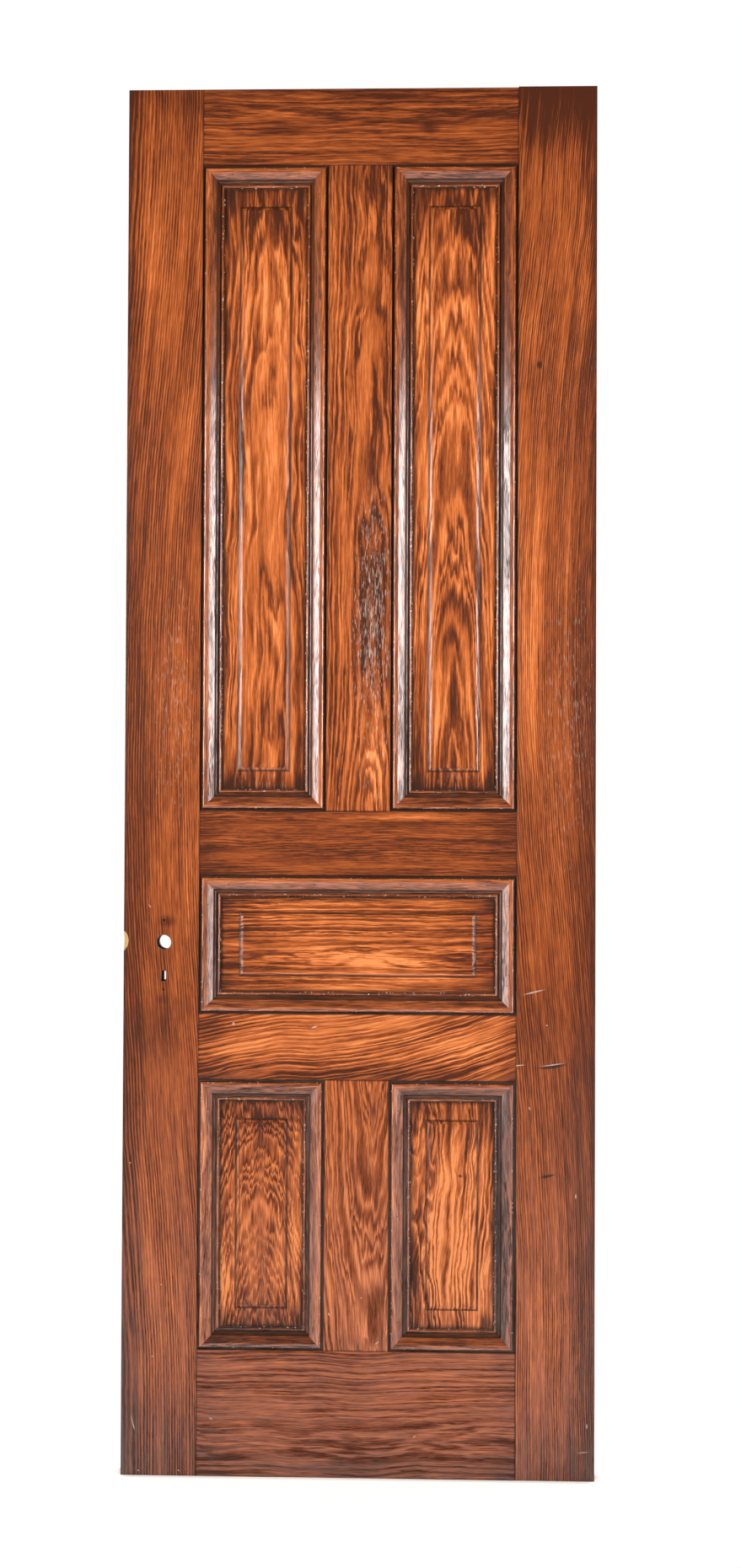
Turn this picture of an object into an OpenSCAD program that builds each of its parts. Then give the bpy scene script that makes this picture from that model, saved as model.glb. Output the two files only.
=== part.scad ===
// Five-panel interior door in oak: through-tenoned frame, floating raised panels, planted mitred mouldings.
// Millimetres. Z is up from the door's foot, X runs from the lock edge to the hinge edge, the front faces -Y.

/* [Door] */
// Overall width across both stiles
door_w = 762; // [640:1:920]
// Overall height, to the top of the hinge stile
door_h = 2250; // [2000:1:2400]
// Thickness of the frame, face to face
door_t = 44; // [40:0.5:52]
// How far the hinge stile's top stands above the rest
horn = 1.5; // [0.5:0.1:4]

/* [Frame members] */
// Width of the stile that carries the lock
lock_stile_w = 122; // [112:1:150]
// Width of the stile that carries the hinges
hinge_stile_w = 127; // [100:1:150]
// Height of the top rail
top_rail_h = 125; // [110:1:160]
// Height of the rail under the tall panels
frieze_rail_h = 104; // [80:1:140]
// Height of the rail under the wide panel
lock_rail_h = 106; // [80:1:140]
// Height of the bottom rail
bottom_rail_h = 203; // [170:1:260]
// Width of the upright between a pair of panels
muntin_w = 104; // [80:1:130]
// Clear height of the lower pair of panels
lower_open_h = 435; // [380:1:520]
// Clear height of the wide middle panel
middle_open_h = 224; // [200:1:280]

/* [Joinery] */
// Width of the panel groove
groove_w = 10; // [8:0.5:12]
// Depth of the panel groove
groove_d = 12; // [9:0.5:15]
// Thickness of every tenon
tenon_t = 14; // [12.5:0.5:18]
// Height of the haunch at the top and bottom rails
haunch_h = 35; // [25:1:45]
// Gap between the bottom rail's two tenons
tenon_split = 44; // [30:1:60]
// Length of a muntin's stub tenon
stub_len = 28; // [20:1:35]
// Space left past the end of a stub tenon
stub_gap = 1.5; // [0.5:0.1:3]
// Thickness of a wedge at the outer edge
wedge_t = 3; // [2:0.1:5]
// How deep a wedge is driven
wedge_len = 70; // [40:1:90]

/* [Panels] */
// Thickness of a panel at its flat margin
panel_t = 18; // [15:0.5:22]
// Clearance of the panel's tongue on each side in its groove
tongue_play = 0.25; // [0.1:0.05:0.6]
// Room for the panel to swell in each groove
swell_gap = 2; // [1:0.1:4]
// Space between the panel's shoulder and the frame
shoulder_gap = 1; // [0.5:0.1:2]
// Flat margin from moulding to raised field, along the grain
margin_side = 25; // [18:0.5:32]
// Flat margin from moulding to raised field, at the grain's ends
margin_end = 29.5; // [20:0.5:34]
// How far the field stands up from the margin
field_rise = 3.5; // [2.5:0.1:5]
// Width of the field's sloped edge
field_slope = 6.5; // [4:0.1:10]
// Small upright step above and below that slope
field_step = 0.7; // [0.3:0.1:1]

/* [Moulding] */
// Width of the moulding from frame edge to panel
moulding_w = 35; // [32.5:0.5:40]
// How far the moulding stands proud of the frame
moulding_rise = 3.5; // [2:0.1:5]
// Width of the dark quirk beside the frame
quirk_w = 4; // [2.5:0.1:5]
// Depth of the quirk below the frame's face
quirk_d = 3.5; // [2:0.1:5]
// Radius of the rounded nose
nose_r = 3.2; // [2:0.1:4]
// Width of the flat behind the nose
flat_w = 4; // [2:0.1:5]
// Width of the gently rounded back
back_w = 12; // [10:0.1:13]
// Fall of the rounded back
back_fall = 5.5; // [4:0.1:6]
// Radius of the rounded back
back_r = 30; // [20:1:60]
// Upright fillet under the back
fillet_h = 1.2; // [0.6:0.1:2]
// Radius of the cove
cove_r = 4.5; // [3:0.1:5]
// Radius of the small inner bead
bead_r = 2; // [1.5:0.1:2.2]
// Height of the bead's centre above the toe
bead_up = 1; // [0.5:0.1:1.5]
// Flat of the toe left past the bead
toe_lip = 1.2; // [0.5:0.1:2]
// Thickness of the toe that lies on the panel
toe_h = 2; // [1.2:0.1:2.5]

/* [Lock] */
// Height of the knob's axis above the lock rail
knob_up = 114.5; // [105:0.5:120]
// Distance of the knob's axis from the lock edge
backset = 65; // [58:0.5:72]
// Radius of the knob bore
knob_r = 12; // [9:0.25:13]
// Drop from knob to keyhole
key_drop = 54; // [45:0.5:60]
// Width of the keyhole
key_w = 8; // [6:0.25:10]
// Height of the keyhole
key_h = 18; // [14:0.5:22]
// Thickness of the lock's pocket
pocket_t = 17; // [14:0.5:19]
// Depth of the lock's pocket past the knob's axis
pocket_past = 21; // [16:0.5:25]
// Height of the pocket above the knob's axis
pocket_above = 24; // [18:0.5:30]
// Height of the pocket below the keyhole's centre
pocket_below = 16; // [13:0.5:20]
// Height of the lock front's recess
front_h = 142; // [135:1:150]
// Width of the lock front's recess
front_w = 24; // [20:0.5:26]
// Depth of the lock front's recess
front_d = 2.5; // [1.5:0.1:4]
// Spacing of the lock front's screws
front_screws = 124; // [118:1:128]
// Spacing of the escutcheon's screws
plate_screws = 112; // [106:0.5:120]
// Height of the upper escutcheon screw above the knob's axis
plate_above = 36; // [32:0.5:40]
// How much lower the back's escutcheon is set
plate_shift = 4; // [3.5:0.5:6]
// Radius of the small pilot holes
pilot_r = 1.6; // [1.2:0.1:2]
// Depth of the small pilot holes
pilot_d = 10; // [6:0.5:12]

/* [Lock edge damage] */
// Length of the chip broken off the front arris beside the knob
chip_len = 34; // [20:1:45]
// Radius of the chip's scoop
chip_r = 27; // [24:0.5:40]
// Height of the chip's centre above the knob's axis
chip_up = 2.5; // [-6:0.5:6]

/* [Hinges] */
// Height of a hinge leaf
leaf_h = 114; // [100:1:127]
// Width of a hinge leaf, measured in from the back face
leaf_w = 33; // [28:0.5:36]
// Depth of the hinge gain
gain_d = 3.5; // [2:0.1:5]
// From the door's top to the upper gain
gain_top = 180; // [165:1:230]
// From the door's foot to the lower gain
gain_bottom = 280; // [230:1:330]
// Spacing of a leaf's outer pair of screws
screws_outer = 88; // [80:1:92]
// Spacing of a leaf's inner pair of screws
screws_inner = 34; // [28:1:44]
// Outer pair's distance from the back face
outer_in = 23; // [20:0.5:25]
// Inner pair's distance from the back face
inner_in = 11; // [8:0.5:13]
// Radius of the hinge screws' pilot holes
screw_r = 2; // [1.5:0.1:3]
// Depth of the hinge screws' pilot holes
screw_d = 28; // [20:1:40]

/* [Hidden] */
$fn = 64;
// how far a cut runs out past the wood
over = 1;

half_t = door_t / 2;
edge_l = -door_w / 2;
edge_r = door_w / 2;
open_l = edge_l + lock_stile_w;
open_r = edge_r - hinge_stile_w;
open_w = open_r - open_l;
mid_x = (open_l + open_r) / 2;
muntin_l = mid_x - muntin_w / 2;
muntin_r = mid_x + muntin_w / 2;

// heights where one member ends and the next begins
rail_top = door_h - horn;
lower_z0 = bottom_rail_h;
lower_z1 = lower_z0 + lower_open_h;
middle_z0 = lower_z1 + lock_rail_h;
middle_z1 = middle_z0 + middle_open_h;
upper_z0 = middle_z1 + frieze_rail_h;
upper_z1 = rail_top - top_rail_h;

// each rail's tenons, as pairs of lower and upper heights
top_tenons = [[upper_z1 + groove_d, rail_top - haunch_h]];
frieze_tenons = [[middle_z1 + groove_d, upper_z0 - groove_d]];
lock_tenons = [[lower_z1 + groove_d, middle_z0 - groove_d]];
twin_h = (lower_z0 - groove_d - haunch_h - tenon_split) / 2;
bottom_tenons = [[haunch_h, haunch_h + twin_h], [lower_z0 - groove_d - twin_h, lower_z0 - groove_d]];
all_tenons = concat(top_tenons, frieze_tenons, lock_tenons, bottom_tenons);

// panel openings: name, left, right, foot, head, and whether the grain lies level
OPENINGS = [
  ["upper_left", open_l, muntin_l, upper_z0, upper_z1, false],
  ["upper_right", muntin_r, open_r, upper_z0, upper_z1, false],
  ["middle", open_l, open_r, middle_z0, middle_z1, true],
  ["lower_left", open_l, muntin_l, lower_z0, lower_z1, false],
  ["lower_right", muntin_r, open_r, lower_z0, lower_z1, false]
];
FACES = ["front", "back"];
SIDES = ["bottom", "right", "top", "left"];

// the tongue fills its groove but for the play on each side
tongue_t = groove_w - 2 * tongue_play;
tongue_in = groove_d - swell_gap;

// the moulding's section: u runs from the frame inwards, v up from the panel's margin
face_v = half_t - panel_t / 2;
crest_v = face_v + moulding_rise;
quirk_v = face_v - quirk_d;
nose_u = quirk_w + nose_r;
back_u = nose_u + flat_w;
cove_u = back_u + back_w;
back_v = crest_v - back_fall;
cove_v = back_v - fillet_h;
bead_u = moulding_w - bead_r - toe_lip;
bead_v = toe_h + bead_up;

// the circle through both ends of the rounded back
chord = norm([back_w, back_fall]);
sag_leg = sqrt(back_r * back_r - chord * chord / 4);
back_c = [back_u + back_w / 2 - sag_leg * back_fall / chord, crest_v - back_fall / 2 - sag_leg * back_w / chord];

// the lock's place in the stile
knob_x = edge_l + backset;
knob_z = middle_z0 + knob_up;
key_z = knob_z - key_drop;
pocket_z0 = key_z - pocket_below;
pocket_z1 = knob_z + pocket_above;
lock_mid_z = (pocket_z0 + pocket_z1) / 2;
plate_z1 = knob_z + plate_above;
plate_z0 = plate_z1 - plate_screws;

// the chip's ball stands off the arris by equal steps sideways and forwards
chip_off = sqrt((chip_r * chip_r - chip_len * chip_len / 4) / 2);

// feet of the hinge gains
gain_feet = [door_h - gain_top - leaf_h, gain_bottom];

// colours for the preview
oak_frame = [0.42, 0.19, 0.09];
oak_panel = [0.55, 0.24, 0.1];
oak_moulding = [0.34, 0.15, 0.08];
oak_pale = [0.7, 0.52, 0.32];

moulding_nodes = [for (f = FACES, o = OPENINGS, s = SIDES) str("moulding_", f, "_", o[0], "_", s)];
frame_nodes = [
  "lock_stile", "hinge_stile", "top_rail", "frieze_rail", "lock_rail", "bottom_rail",
  "upper_muntin", "lower_muntin", "tenon_wedges"
];
panel_nodes = [for (o = OPENINGS) str("panel_", o[0])];

// a box from one corner to the opposite one
module block(a, b) {
  translate(a)
    cube(b - a);
}

// a plate of the door's plane, drawn in X and Z, centred in the thickness
module plate(t) {
  rotate([90, 0, 0])
    linear_extrude(height = t, center = true)
      children();
}

// the groove along an upright edge, sunk to the given side
module upright_groove(x, side, z0, z1) {
  x_in = x + side * groove_d;
  x_out = x - side * over;
  block([min(x_out, x_in), -groove_w / 2, z0 - over], [max(x_out, x_in), groove_w / 2, z1 + over]);
}

// the groove along a level edge, sunk to the given side
module level_groove(z, side) {
  z_in = z + side * groove_d;
  z_out = z - side * over;
  block([open_l - over, -groove_w / 2, min(z_out, z_in)], [open_r + over, groove_w / 2, max(z_out, z_in)]);
}

// a through mortise that flares at the outer edge for its wedges
module through_mortise(x_in, x_out, z0, z1) {
  way = sign(x_out - x_in);
  x_a = x_in - way * over;
  x_w = x_out - way * wedge_len;
  x_b = x_out + way * over;
  low = z0 - wedge_t;
  high = z1 + wedge_t;
  plate(tenon_t)
    polygon([
      [x_a, z0], [x_w, z0], [x_out, low], [x_b, low],
      [x_b, high], [x_out, high], [x_w, z1], [x_a, z1]
    ]);
}

// the pair of wedges that fills one mortise's flare
module wedge_pair(x_in, x_out, z0, z1) {
  x_w = x_out - sign(x_out - x_in) * wedge_len;
  plate(tenon_t)
    polygon([[x_w, z0], [x_out, z0 - wedge_t], [x_out, z0]]);
  plate(tenon_t)
    polygon([[x_w, z1], [x_out, z1 + wedge_t], [x_out, z1]]);
}

module lock_cuts() {
  // the case's pocket and the front plate's recess, both empty now
  block([edge_l - over, -pocket_t / 2, pocket_z0], [knob_x + pocket_past, pocket_t / 2, pocket_z1]);
  block(
    [edge_l - over, -front_w / 2, lock_mid_z - front_h / 2],
    [edge_l + front_d, front_w / 2, lock_mid_z + front_h / 2]
  );
  for (s = [-1, 1])
    translate([edge_l + front_d - over, 0, lock_mid_z + s * front_screws / 2])
      rotate([0, 90, 0])
        cylinder(r = pilot_r, h = pilot_d + over);
  // knob bore and keyhole run through both walls
  translate([knob_x, 0, knob_z])
    rotate([90, 0, 0])
      cylinder(r = knob_r, h = door_t + 2 * over, center = true);
  translate([knob_x, 0, key_z + key_h / 2 - key_w / 2])
    rotate([90, 0, 0])
      cylinder(r = key_w / 2, h = door_t + 2 * over, center = true);
  block(
    [knob_x - key_w / 2, -half_t - over, key_z - key_h / 2],
    [knob_x + key_w / 2, half_t + over, key_z + key_h / 2 - key_w / 2]
  );
  // escutcheon screw holes in both faces
  for (z = [plate_z0, plate_z1]) {
    translate([knob_x, -half_t, z])
      rotate([90, 0, 0])
        cylinder(r = pilot_r, h = 2 * pilot_d, center = true);
    translate([knob_x, half_t, z - plate_shift])
      rotate([90, 0, 0])
        cylinder(r = pilot_r, h = 2 * pilot_d, center = true);
  }
}

module edge_chip() {
  translate([edge_l - chip_off, -half_t - chip_off, knob_z + chip_up])
    sphere(r = chip_r);
}

module lock_stile() {
  color(oak_frame)
    difference() {
      block([edge_l, -half_t, 0], [open_l, half_t, rail_top]);
      upright_groove(open_l, -1, 0, rail_top);
      for (t = all_tenons)
        through_mortise(open_l, edge_l, t[0], t[1]);
      lock_cuts();
      edge_chip();
    }
}

module hinge_gain(z0) {
  mid_z = z0 + leaf_h / 2;
  block([edge_r - gain_d, half_t - leaf_w, z0], [edge_r + over, half_t + over, z0 + leaf_h]);
  for (s = [-1, 1]) {
    translate([edge_r - gain_d - screw_d, half_t - outer_in, mid_z + s * screws_outer / 2])
      rotate([0, 90, 0])
        cylinder(r = screw_r, h = screw_d + over);
    translate([edge_r - gain_d - screw_d, half_t - inner_in, mid_z + s * screws_inner / 2])
      rotate([0, 90, 0])
        cylinder(r = screw_r, h = screw_d + over);
  }
}

module hinge_stile() {
  color(oak_frame)
    difference() {
      block([open_r, -half_t, 0], [edge_r, half_t, door_h]);
      upright_groove(open_r, 1, 0, door_h);
      for (t = all_tenons)
        through_mortise(open_r, edge_r, t[0], t[1]);
      for (z = gain_feet)
        hinge_gain(z);
    }
}

// a rail's body, its tenons and the haunches that fill the stiles' grooves
module rail(z0, z1, tenons, haunches) {
  block([open_l, -half_t, z0], [open_r, half_t, z1]);
  for (t = tenons)
    block([edge_l, -tenon_t / 2, t[0]], [edge_r, tenon_t / 2, t[1]]);
  for (h = haunches)
    block([open_l - groove_d, -groove_w / 2, h[0]], [open_r + groove_d, groove_w / 2, h[1]]);
}

// the mortise for a muntin's stub, sunk from a rail's edge
module stub_mortise(z, side) {
  z_in = z + side * (stub_len + stub_gap);
  z_out = z - side * over;
  block(
    [muntin_l + groove_d, -tenon_t / 2, min(z_out, z_in)],
    [muntin_r - groove_d, tenon_t / 2, max(z_out, z_in)]
  );
}

module top_rail() {
  color(oak_frame)
    difference() {
      rail(upper_z1, rail_top, top_tenons, [[rail_top - haunch_h, rail_top]]);
      level_groove(upper_z1, 1);
      stub_mortise(upper_z1, 1);
    }
}

module frieze_rail() {
  color(oak_frame)
    difference() {
      rail(middle_z1, upper_z0, frieze_tenons, []);
      level_groove(upper_z0, -1);
      level_groove(middle_z1, 1);
      stub_mortise(upper_z0, -1);
    }
}

module lock_rail() {
  color(oak_frame)
    difference() {
      rail(lower_z1, middle_z0, lock_tenons, []);
      level_groove(middle_z0, -1);
      level_groove(lower_z1, 1);
      stub_mortise(lower_z1, 1);
    }
}

module bottom_rail() {
  color(oak_frame)
    difference() {
      rail(0, lower_z0, bottom_tenons, [[0, lower_z0 - groove_d]]);
      level_groove(lower_z0, -1);
      stub_mortise(lower_z0, -1);
    }
}

module muntin(z0, z1) {
  color(oak_frame)
    difference() {
      union() {
        block([muntin_l, -half_t, z0], [muntin_r, half_t, z1]);
        block(
          [muntin_l + groove_d, -tenon_t / 2, z0 - stub_len],
          [muntin_r - groove_d, tenon_t / 2, z1 + stub_len]
        );
      }
      upright_groove(muntin_l, 1, z0, z1);
      upright_groove(muntin_r, -1, z0, z1);
    }
}

module upper_muntin() {
  muntin(upper_z0, upper_z1);
}

module lower_muntin() {
  muntin(lower_z0, lower_z1);
}

module tenon_wedges() {
  color(oak_pale)
    for (t = all_tenons) {
      wedge_pair(open_l, edge_l, t[0], t[1]);
      wedge_pair(open_r, edge_r, t[0], t[1]);
    }
}

// outline of a field raised on both faces, across one of its two directions
module field_outline(a, b) {
  low = panel_t / 2 + field_step;
  high = panel_t / 2 + field_rise;
  in_a = a + field_slope;
  in_b = b - field_slope;
  polygon([
    [a, -low], [in_a, field_step - high], [in_a, -high], [in_b, -high], [in_b, field_step - high], [b, -low],
    [b, low], [in_b, high - field_step], [in_b, high], [in_a, high], [in_a, high - field_step], [a, low]
  ]);
}

// the raised field: two outlines crossed, so that its slopes meet in mitres
module field(x0, x1, z0, z1) {
  intersection() {
    translate([0, 0, z0])
      linear_extrude(height = z1 - z0)
        field_outline(x0, x1);
    translate([x1, 0, 0])
      rotate([0, -90, 0])
        linear_extrude(height = x1 - x0)
          field_outline(z0, z1);
  }
}

// a panel: tongue in the grooves, shoulders under the mouldings, raised field
module panel(o) {
  inset_x = moulding_w + (o[5] ? margin_end : margin_side);
  inset_z = moulding_w + (o[5] ? margin_side : margin_end);
  color(oak_panel)
    union() {
      block(
        [o[1] - tongue_in, -tongue_t / 2, o[3] - groove_d],
        [o[2] + tongue_in, tongue_t / 2, o[4] + groove_d - 2 * swell_gap]
      );
      block(
        [o[1] + shoulder_gap, -panel_t / 2, o[3] + shoulder_gap],
        [o[2] - shoulder_gap, panel_t / 2, o[4] - shoulder_gap]
      );
      field(o[1] + inset_x, o[2] - inset_x, o[3] + inset_z, o[4] - inset_z);
    }
}

// the moulding's section: quirk, nose, flat, rounded back, cove, bead and toe
module moulding_section() {
  square([quirk_w, quirk_v]);
  translate([quirk_w, 0])
    square([nose_r + flat_w, crest_v - nose_r]);
  translate([nose_u, 0])
    square([flat_w, crest_v]);
  translate([nose_u, crest_v - nose_r])
    circle(r = nose_r);
  intersection() {
    translate([back_u, 0])
      square([back_w, crest_v]);
    translate(back_c)
      circle(r = back_r, $fn = 360);
  }
  difference() {
    translate([cove_u, 0])
      square([cove_r, cove_v]);
    translate([cove_u + cove_r, cove_v])
      circle(r = cove_r);
  }
  translate([cove_u, 0])
    square([moulding_w - cove_u, toe_h]);
  intersection() {
    translate([bead_u, bead_v])
      circle(r = bead_r);
    translate([cove_u, 0])
      square([moulding_w - cove_u, crest_v]);
  }
}

// one strip along +X, mitred at both ends, its back on the frame at Y = 0
module strip(len) {
  intersection() {
    rotate([90, 0, 90])
      linear_extrude(height = len)
        moulding_section();
    translate([0, 0, -over])
      linear_extrude(height = crest_v + 2 * over)
        polygon([[0, 0], [len, 0], [len - moulding_w, moulding_w], [moulding_w, moulding_w]]);
  }
}

// one strip set on its side of an opening, on the front of the panel
module seated_strip(o, side) {
  corners = [[o[1], o[3]], [o[2], o[3]], [o[2], o[4]], [o[1], o[4]]];
  start = corners[side];
  end = corners[(side + 1) % 4];
  translate([start[0], -panel_t / 2, start[1]])
    rotate([90, 0, 0])
      rotate([0, 0, 90 * side])
        strip(norm(end - start));
}

module moulding(face, o, side) {
  color(oak_moulding)
    mirror([0, face == "back" ? 1 : 0, 0])
      seated_strip(o, side);
}

lock_stile();
hinge_stile();
top_rail();
frieze_rail();
lock_rail();
bottom_rail();
upper_muntin();
lower_muntin();
tenon_wedges();
for (o = OPENINGS)
  panel(o);
for (f = FACES, o = OPENINGS, s = [0:3])
  moulding(f, o, s);
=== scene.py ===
"""Dresses an old oak interior door: five raised panels, mitred mouldings, worn dark stain.

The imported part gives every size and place. The boards and panels are its own
shapes with eased arrises, the mouldings and their brads are made by Geometry
Nodes, and the stained wood is worked out from its growth rings.
"""

import math

import bmesh
import bpy
from bpy.props import FloatProperty, FloatVectorProperty, PointerProperty
from mathutils import Matrix, Vector, noise


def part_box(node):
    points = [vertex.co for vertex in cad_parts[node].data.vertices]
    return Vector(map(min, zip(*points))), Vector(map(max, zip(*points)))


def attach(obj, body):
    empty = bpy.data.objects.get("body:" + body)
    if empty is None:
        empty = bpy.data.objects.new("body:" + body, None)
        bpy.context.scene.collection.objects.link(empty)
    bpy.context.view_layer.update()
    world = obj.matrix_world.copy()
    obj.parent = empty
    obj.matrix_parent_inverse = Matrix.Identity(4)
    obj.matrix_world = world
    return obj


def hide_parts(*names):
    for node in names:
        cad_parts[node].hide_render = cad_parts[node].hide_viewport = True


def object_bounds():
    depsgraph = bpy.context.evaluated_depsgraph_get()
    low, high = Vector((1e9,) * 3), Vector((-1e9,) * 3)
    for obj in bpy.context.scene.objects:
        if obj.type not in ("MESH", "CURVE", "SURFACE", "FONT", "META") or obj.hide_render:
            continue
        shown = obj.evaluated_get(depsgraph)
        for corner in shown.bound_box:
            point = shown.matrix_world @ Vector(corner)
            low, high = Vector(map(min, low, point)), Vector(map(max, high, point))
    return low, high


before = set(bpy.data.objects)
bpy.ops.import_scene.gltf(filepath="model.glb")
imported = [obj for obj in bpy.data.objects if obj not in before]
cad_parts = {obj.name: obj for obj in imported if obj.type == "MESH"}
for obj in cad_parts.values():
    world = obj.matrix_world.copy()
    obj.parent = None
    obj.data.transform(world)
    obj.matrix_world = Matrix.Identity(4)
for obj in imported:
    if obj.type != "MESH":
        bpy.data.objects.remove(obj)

bl_info = {
    "name": "Oak Panel Door",
    "version": (1, 0, 0),
    "blender": (4, 5, 0),
    "location": "View3D > Sidebar > Door",
    "description": "Dresses a five-panel oak door with worn stain, mouldings and studio light",
    "category": "Object",
}

CAD_BOX = [list(corner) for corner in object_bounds()]
MM = 0.001
BODY = "root"
OPENINGS = ("upper_left", "upper_right", "middle", "lower_left", "lower_right")
FACES = ("front", "back")
SIDES = ("bottom", "right", "top", "left")


def mm_box(node):
    """A node's lowest and highest corner, in millimetres."""
    return [[value / MM for value in corner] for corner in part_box(node)]


def opening_of(name):
    """Left, right, bottom and top of a panel opening, in millimetres."""
    low = mm_box(f"moulding_front_{name}_bottom")[0]
    high = mm_box(f"moulding_front_{name}_top")[1]
    return low[0], high[0], low[2], high[2]


OPENING = {name: opening_of(name) for name in OPENINGS}
FACE_Y = mm_box("lock_rail")[0][1]
INNER_LEFT, INNER_RIGHT = OPENING["middle"][:2]
MOULDING_BOX = mm_box("moulding_front_middle_bottom")
SEAT = -MOULDING_BOX[1][1]
MOULDING_WIDTH = MOULDING_BOX[1][2] - MOULDING_BOX[0][2]


def stain(red, green, blue):
    """A colour as shown on screen, 0 to 255, as the linear light that Blender stores."""
    picked = (channel / 255 for channel in (red, green, blue))
    return tuple(c / 12.92 if c <= 0.04045 else ((c + 0.055) / 1.055) ** 2.4 for c in picked)


def length(name, description, default):
    return FloatProperty(
        name=name, description=description, default=default * MM, min=0.0, precision=5, unit="LENGTH"
    )


def tint(name, description, default):
    return FloatVectorProperty(
        name=name, description=description, default=default, size=3, min=0.0, max=1.0, subtype="COLOR"
    )


def colour(name, description, *picked):
    return tint(name, description, stain(*picked))


def amount(name, description, default, **more):
    return FloatProperty(name=name, description=description, default=default, min=0.0, **more)


class DoorSizes(bpy.types.PropertyGroup):
    """Sizes that the joiner's planes and the wear of the arrises gave the door."""

    arris: length("Arris", "Easing of the long edges of stiles, rails and muntins", 0.7)
    field_arris: length("Field arris", "Easing of the raised fields' edges", 0.5)
    quirk_width: length("Quirk width", "Width of the groove between frame and moulding", 4.0)
    quirk_floor: length("Quirk floor", "Height of the groove's floor over the panel", 9.5)
    crest: length("Crest", "Height of the moulding over the panel", 16.5)
    nose: length("Nose radius", "Rounding of the moulding's outer edge", 3.2)
    flat: length("Flat width", "Flat along the moulding's crest", 4.0)
    back_width: length("Back width", "Width of the rounded slope behind the crest", 12.0)
    back_fall: length("Back fall", "Drop of the rounded slope", 5.5)
    back_radius: length("Back radius", "Radius of the rounded slope", 60.0)
    fillet: length("Fillet", "Small upright step under the slope", 1.2)
    cove: length("Cove radius", "Radius of the hollow", 4.5)
    bead: length("Bead radius", "Radius of the small bead", 2.0)
    bead_rise: length("Bead rise", "Height of the bead's centre over the toe", 1.0)
    toe_lip: length("Toe lip", "Flat in front of the bead", 1.2)
    toe: length("Toe", "Thickness of the moulding's toe", 2.0)
    brad: length("Brad radius", "Radius of the putty over a sunk brad", 1.0)
    brad_spacing: length("Brad spacing", "Distance between brads along a moulding", 160.0)
    brad_end: length("Brad end", "Distance from a mitre's point to the first brad", 48.0)


class DoorFinish(bpy.types.PropertyGroup):
    """Colours of the worn stain, from the pores to the palest streaks."""

    stain_black: colour("Deepest stain", "Stain gathered in pores and corners", 80, 37, 18)
    stain_dark: colour("Dark stain", "Stain in the open grain", 118, 55, 25)
    stain_brown: colour("Brown stain", "Middle tone of the stain", 153, 75, 32)
    stain_russet: colour("Russet stain", "Stain over close grain", 189, 98, 46)
    stain_amber: colour("Amber stain", "Worn stain over close grain", 222, 122, 62)
    stain_gold: colour("Palest stain", "Stain worn thin over pale streaks", 250, 152, 88)
    # Beyond dirt, this colour is the painted shade inside holes, and with the dirt it darkens the mouldings'
    # quirks, hollows and toes and the panels' margins.
    dirt: colour("Dirt", "Old wax and dirt in the quirks", 44, 29, 19)
    # Besides scratches and specks, this whitish colour is the painted glints on crazing varnish.
    scratch_and_glint: colour("Scratch", "Whitish scratches and specks", 226, 205, 190)
    bare: colour("Bare oak", "Fresh wood on a broken edge", 222, 184, 124)
    bare_dark: colour("Bare oak grain", "Open grain in fresh wood", 150, 104, 58)


class DoorStage(bpy.types.PropertyGroup):
    """The studio round the door."""

    lens: FloatProperty(name="Lens", description="Focal length in millimetres", default=46.43, min=1.0)
    softbox: amount("Softbox", "Power of each lamp", 39.0, unit="POWER")
    softbox_width: length("Softbox width", "Width of each lamp", 1150.0)
    softbox_height: length("Softbox height", "Height of each lamp", 1100.0)
    sheen: amount("Sheen", "Power of each low lamp, which only glosses", 10.0, unit="POWER")
    sheen_width: length("Sheen width", "Width of each low lamp", 1150.0)
    sheen_height: length("Sheen height", "Height of each low lamp", 700.0)
    room: amount("Room", "Level of the dim room light", 0.1)
    ceiling: amount("Ceiling", "Level of the ceiling's glow", 0.6)
    floor: tint("Floor", "Pale floor", (0.8, 0.79, 0.77))


class Value:
    """A socket in a node tree, so that shader maths reads as plain expressions."""

    def __init__(self, bench, socket):
        self.bench, self.socket = bench, socket

    def _math(self, operation, *terms):
        return self.bench.node("ShaderNodeMath", {"operation": operation}, dict(enumerate(terms)))

    def __add__(self, other):
        return self._math("ADD", self, other)

    def __sub__(self, other):
        return self._math("SUBTRACT", self, other)

    def __rsub__(self, other):
        return self._math("SUBTRACT", other, self)

    def __mul__(self, other):
        return self._math("MULTIPLY", self, other)

    def __truediv__(self, other):
        return self._math("DIVIDE", self, other)

    def __rtruediv__(self, other):
        return self._math("DIVIDE", other, self)

    __radd__ = __add__
    __rmul__ = __mul__

    def root(self):
        return self._math("SQRT", self)

    def part(self):
        return self._math("FRACT", self)

    def size(self):
        return self._math("ABSOLUTE", self)

    def least(self, other):
        return self._math("MINIMUM", self, other)

    def most(self, other):
        return self._math("MAXIMUM", self, other)

    def _ramp(self, low, high, start, end):
        settings = {"interpolation_type": "SMOOTHSTEP"}
        return self.bench.node("ShaderNodeMapRange", settings, {0: self, 1: low, 2: high, 3: start, 4: end})

    def rise(self, low, high):
        """0 below low, 1 above high, smooth between."""
        return self._ramp(low, high, 0.0, 1.0)

    def fall(self, low, high):
        """1 below low, 0 above high, smooth between."""
        return self._ramp(low, high, 1.0, 0.0)


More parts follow.
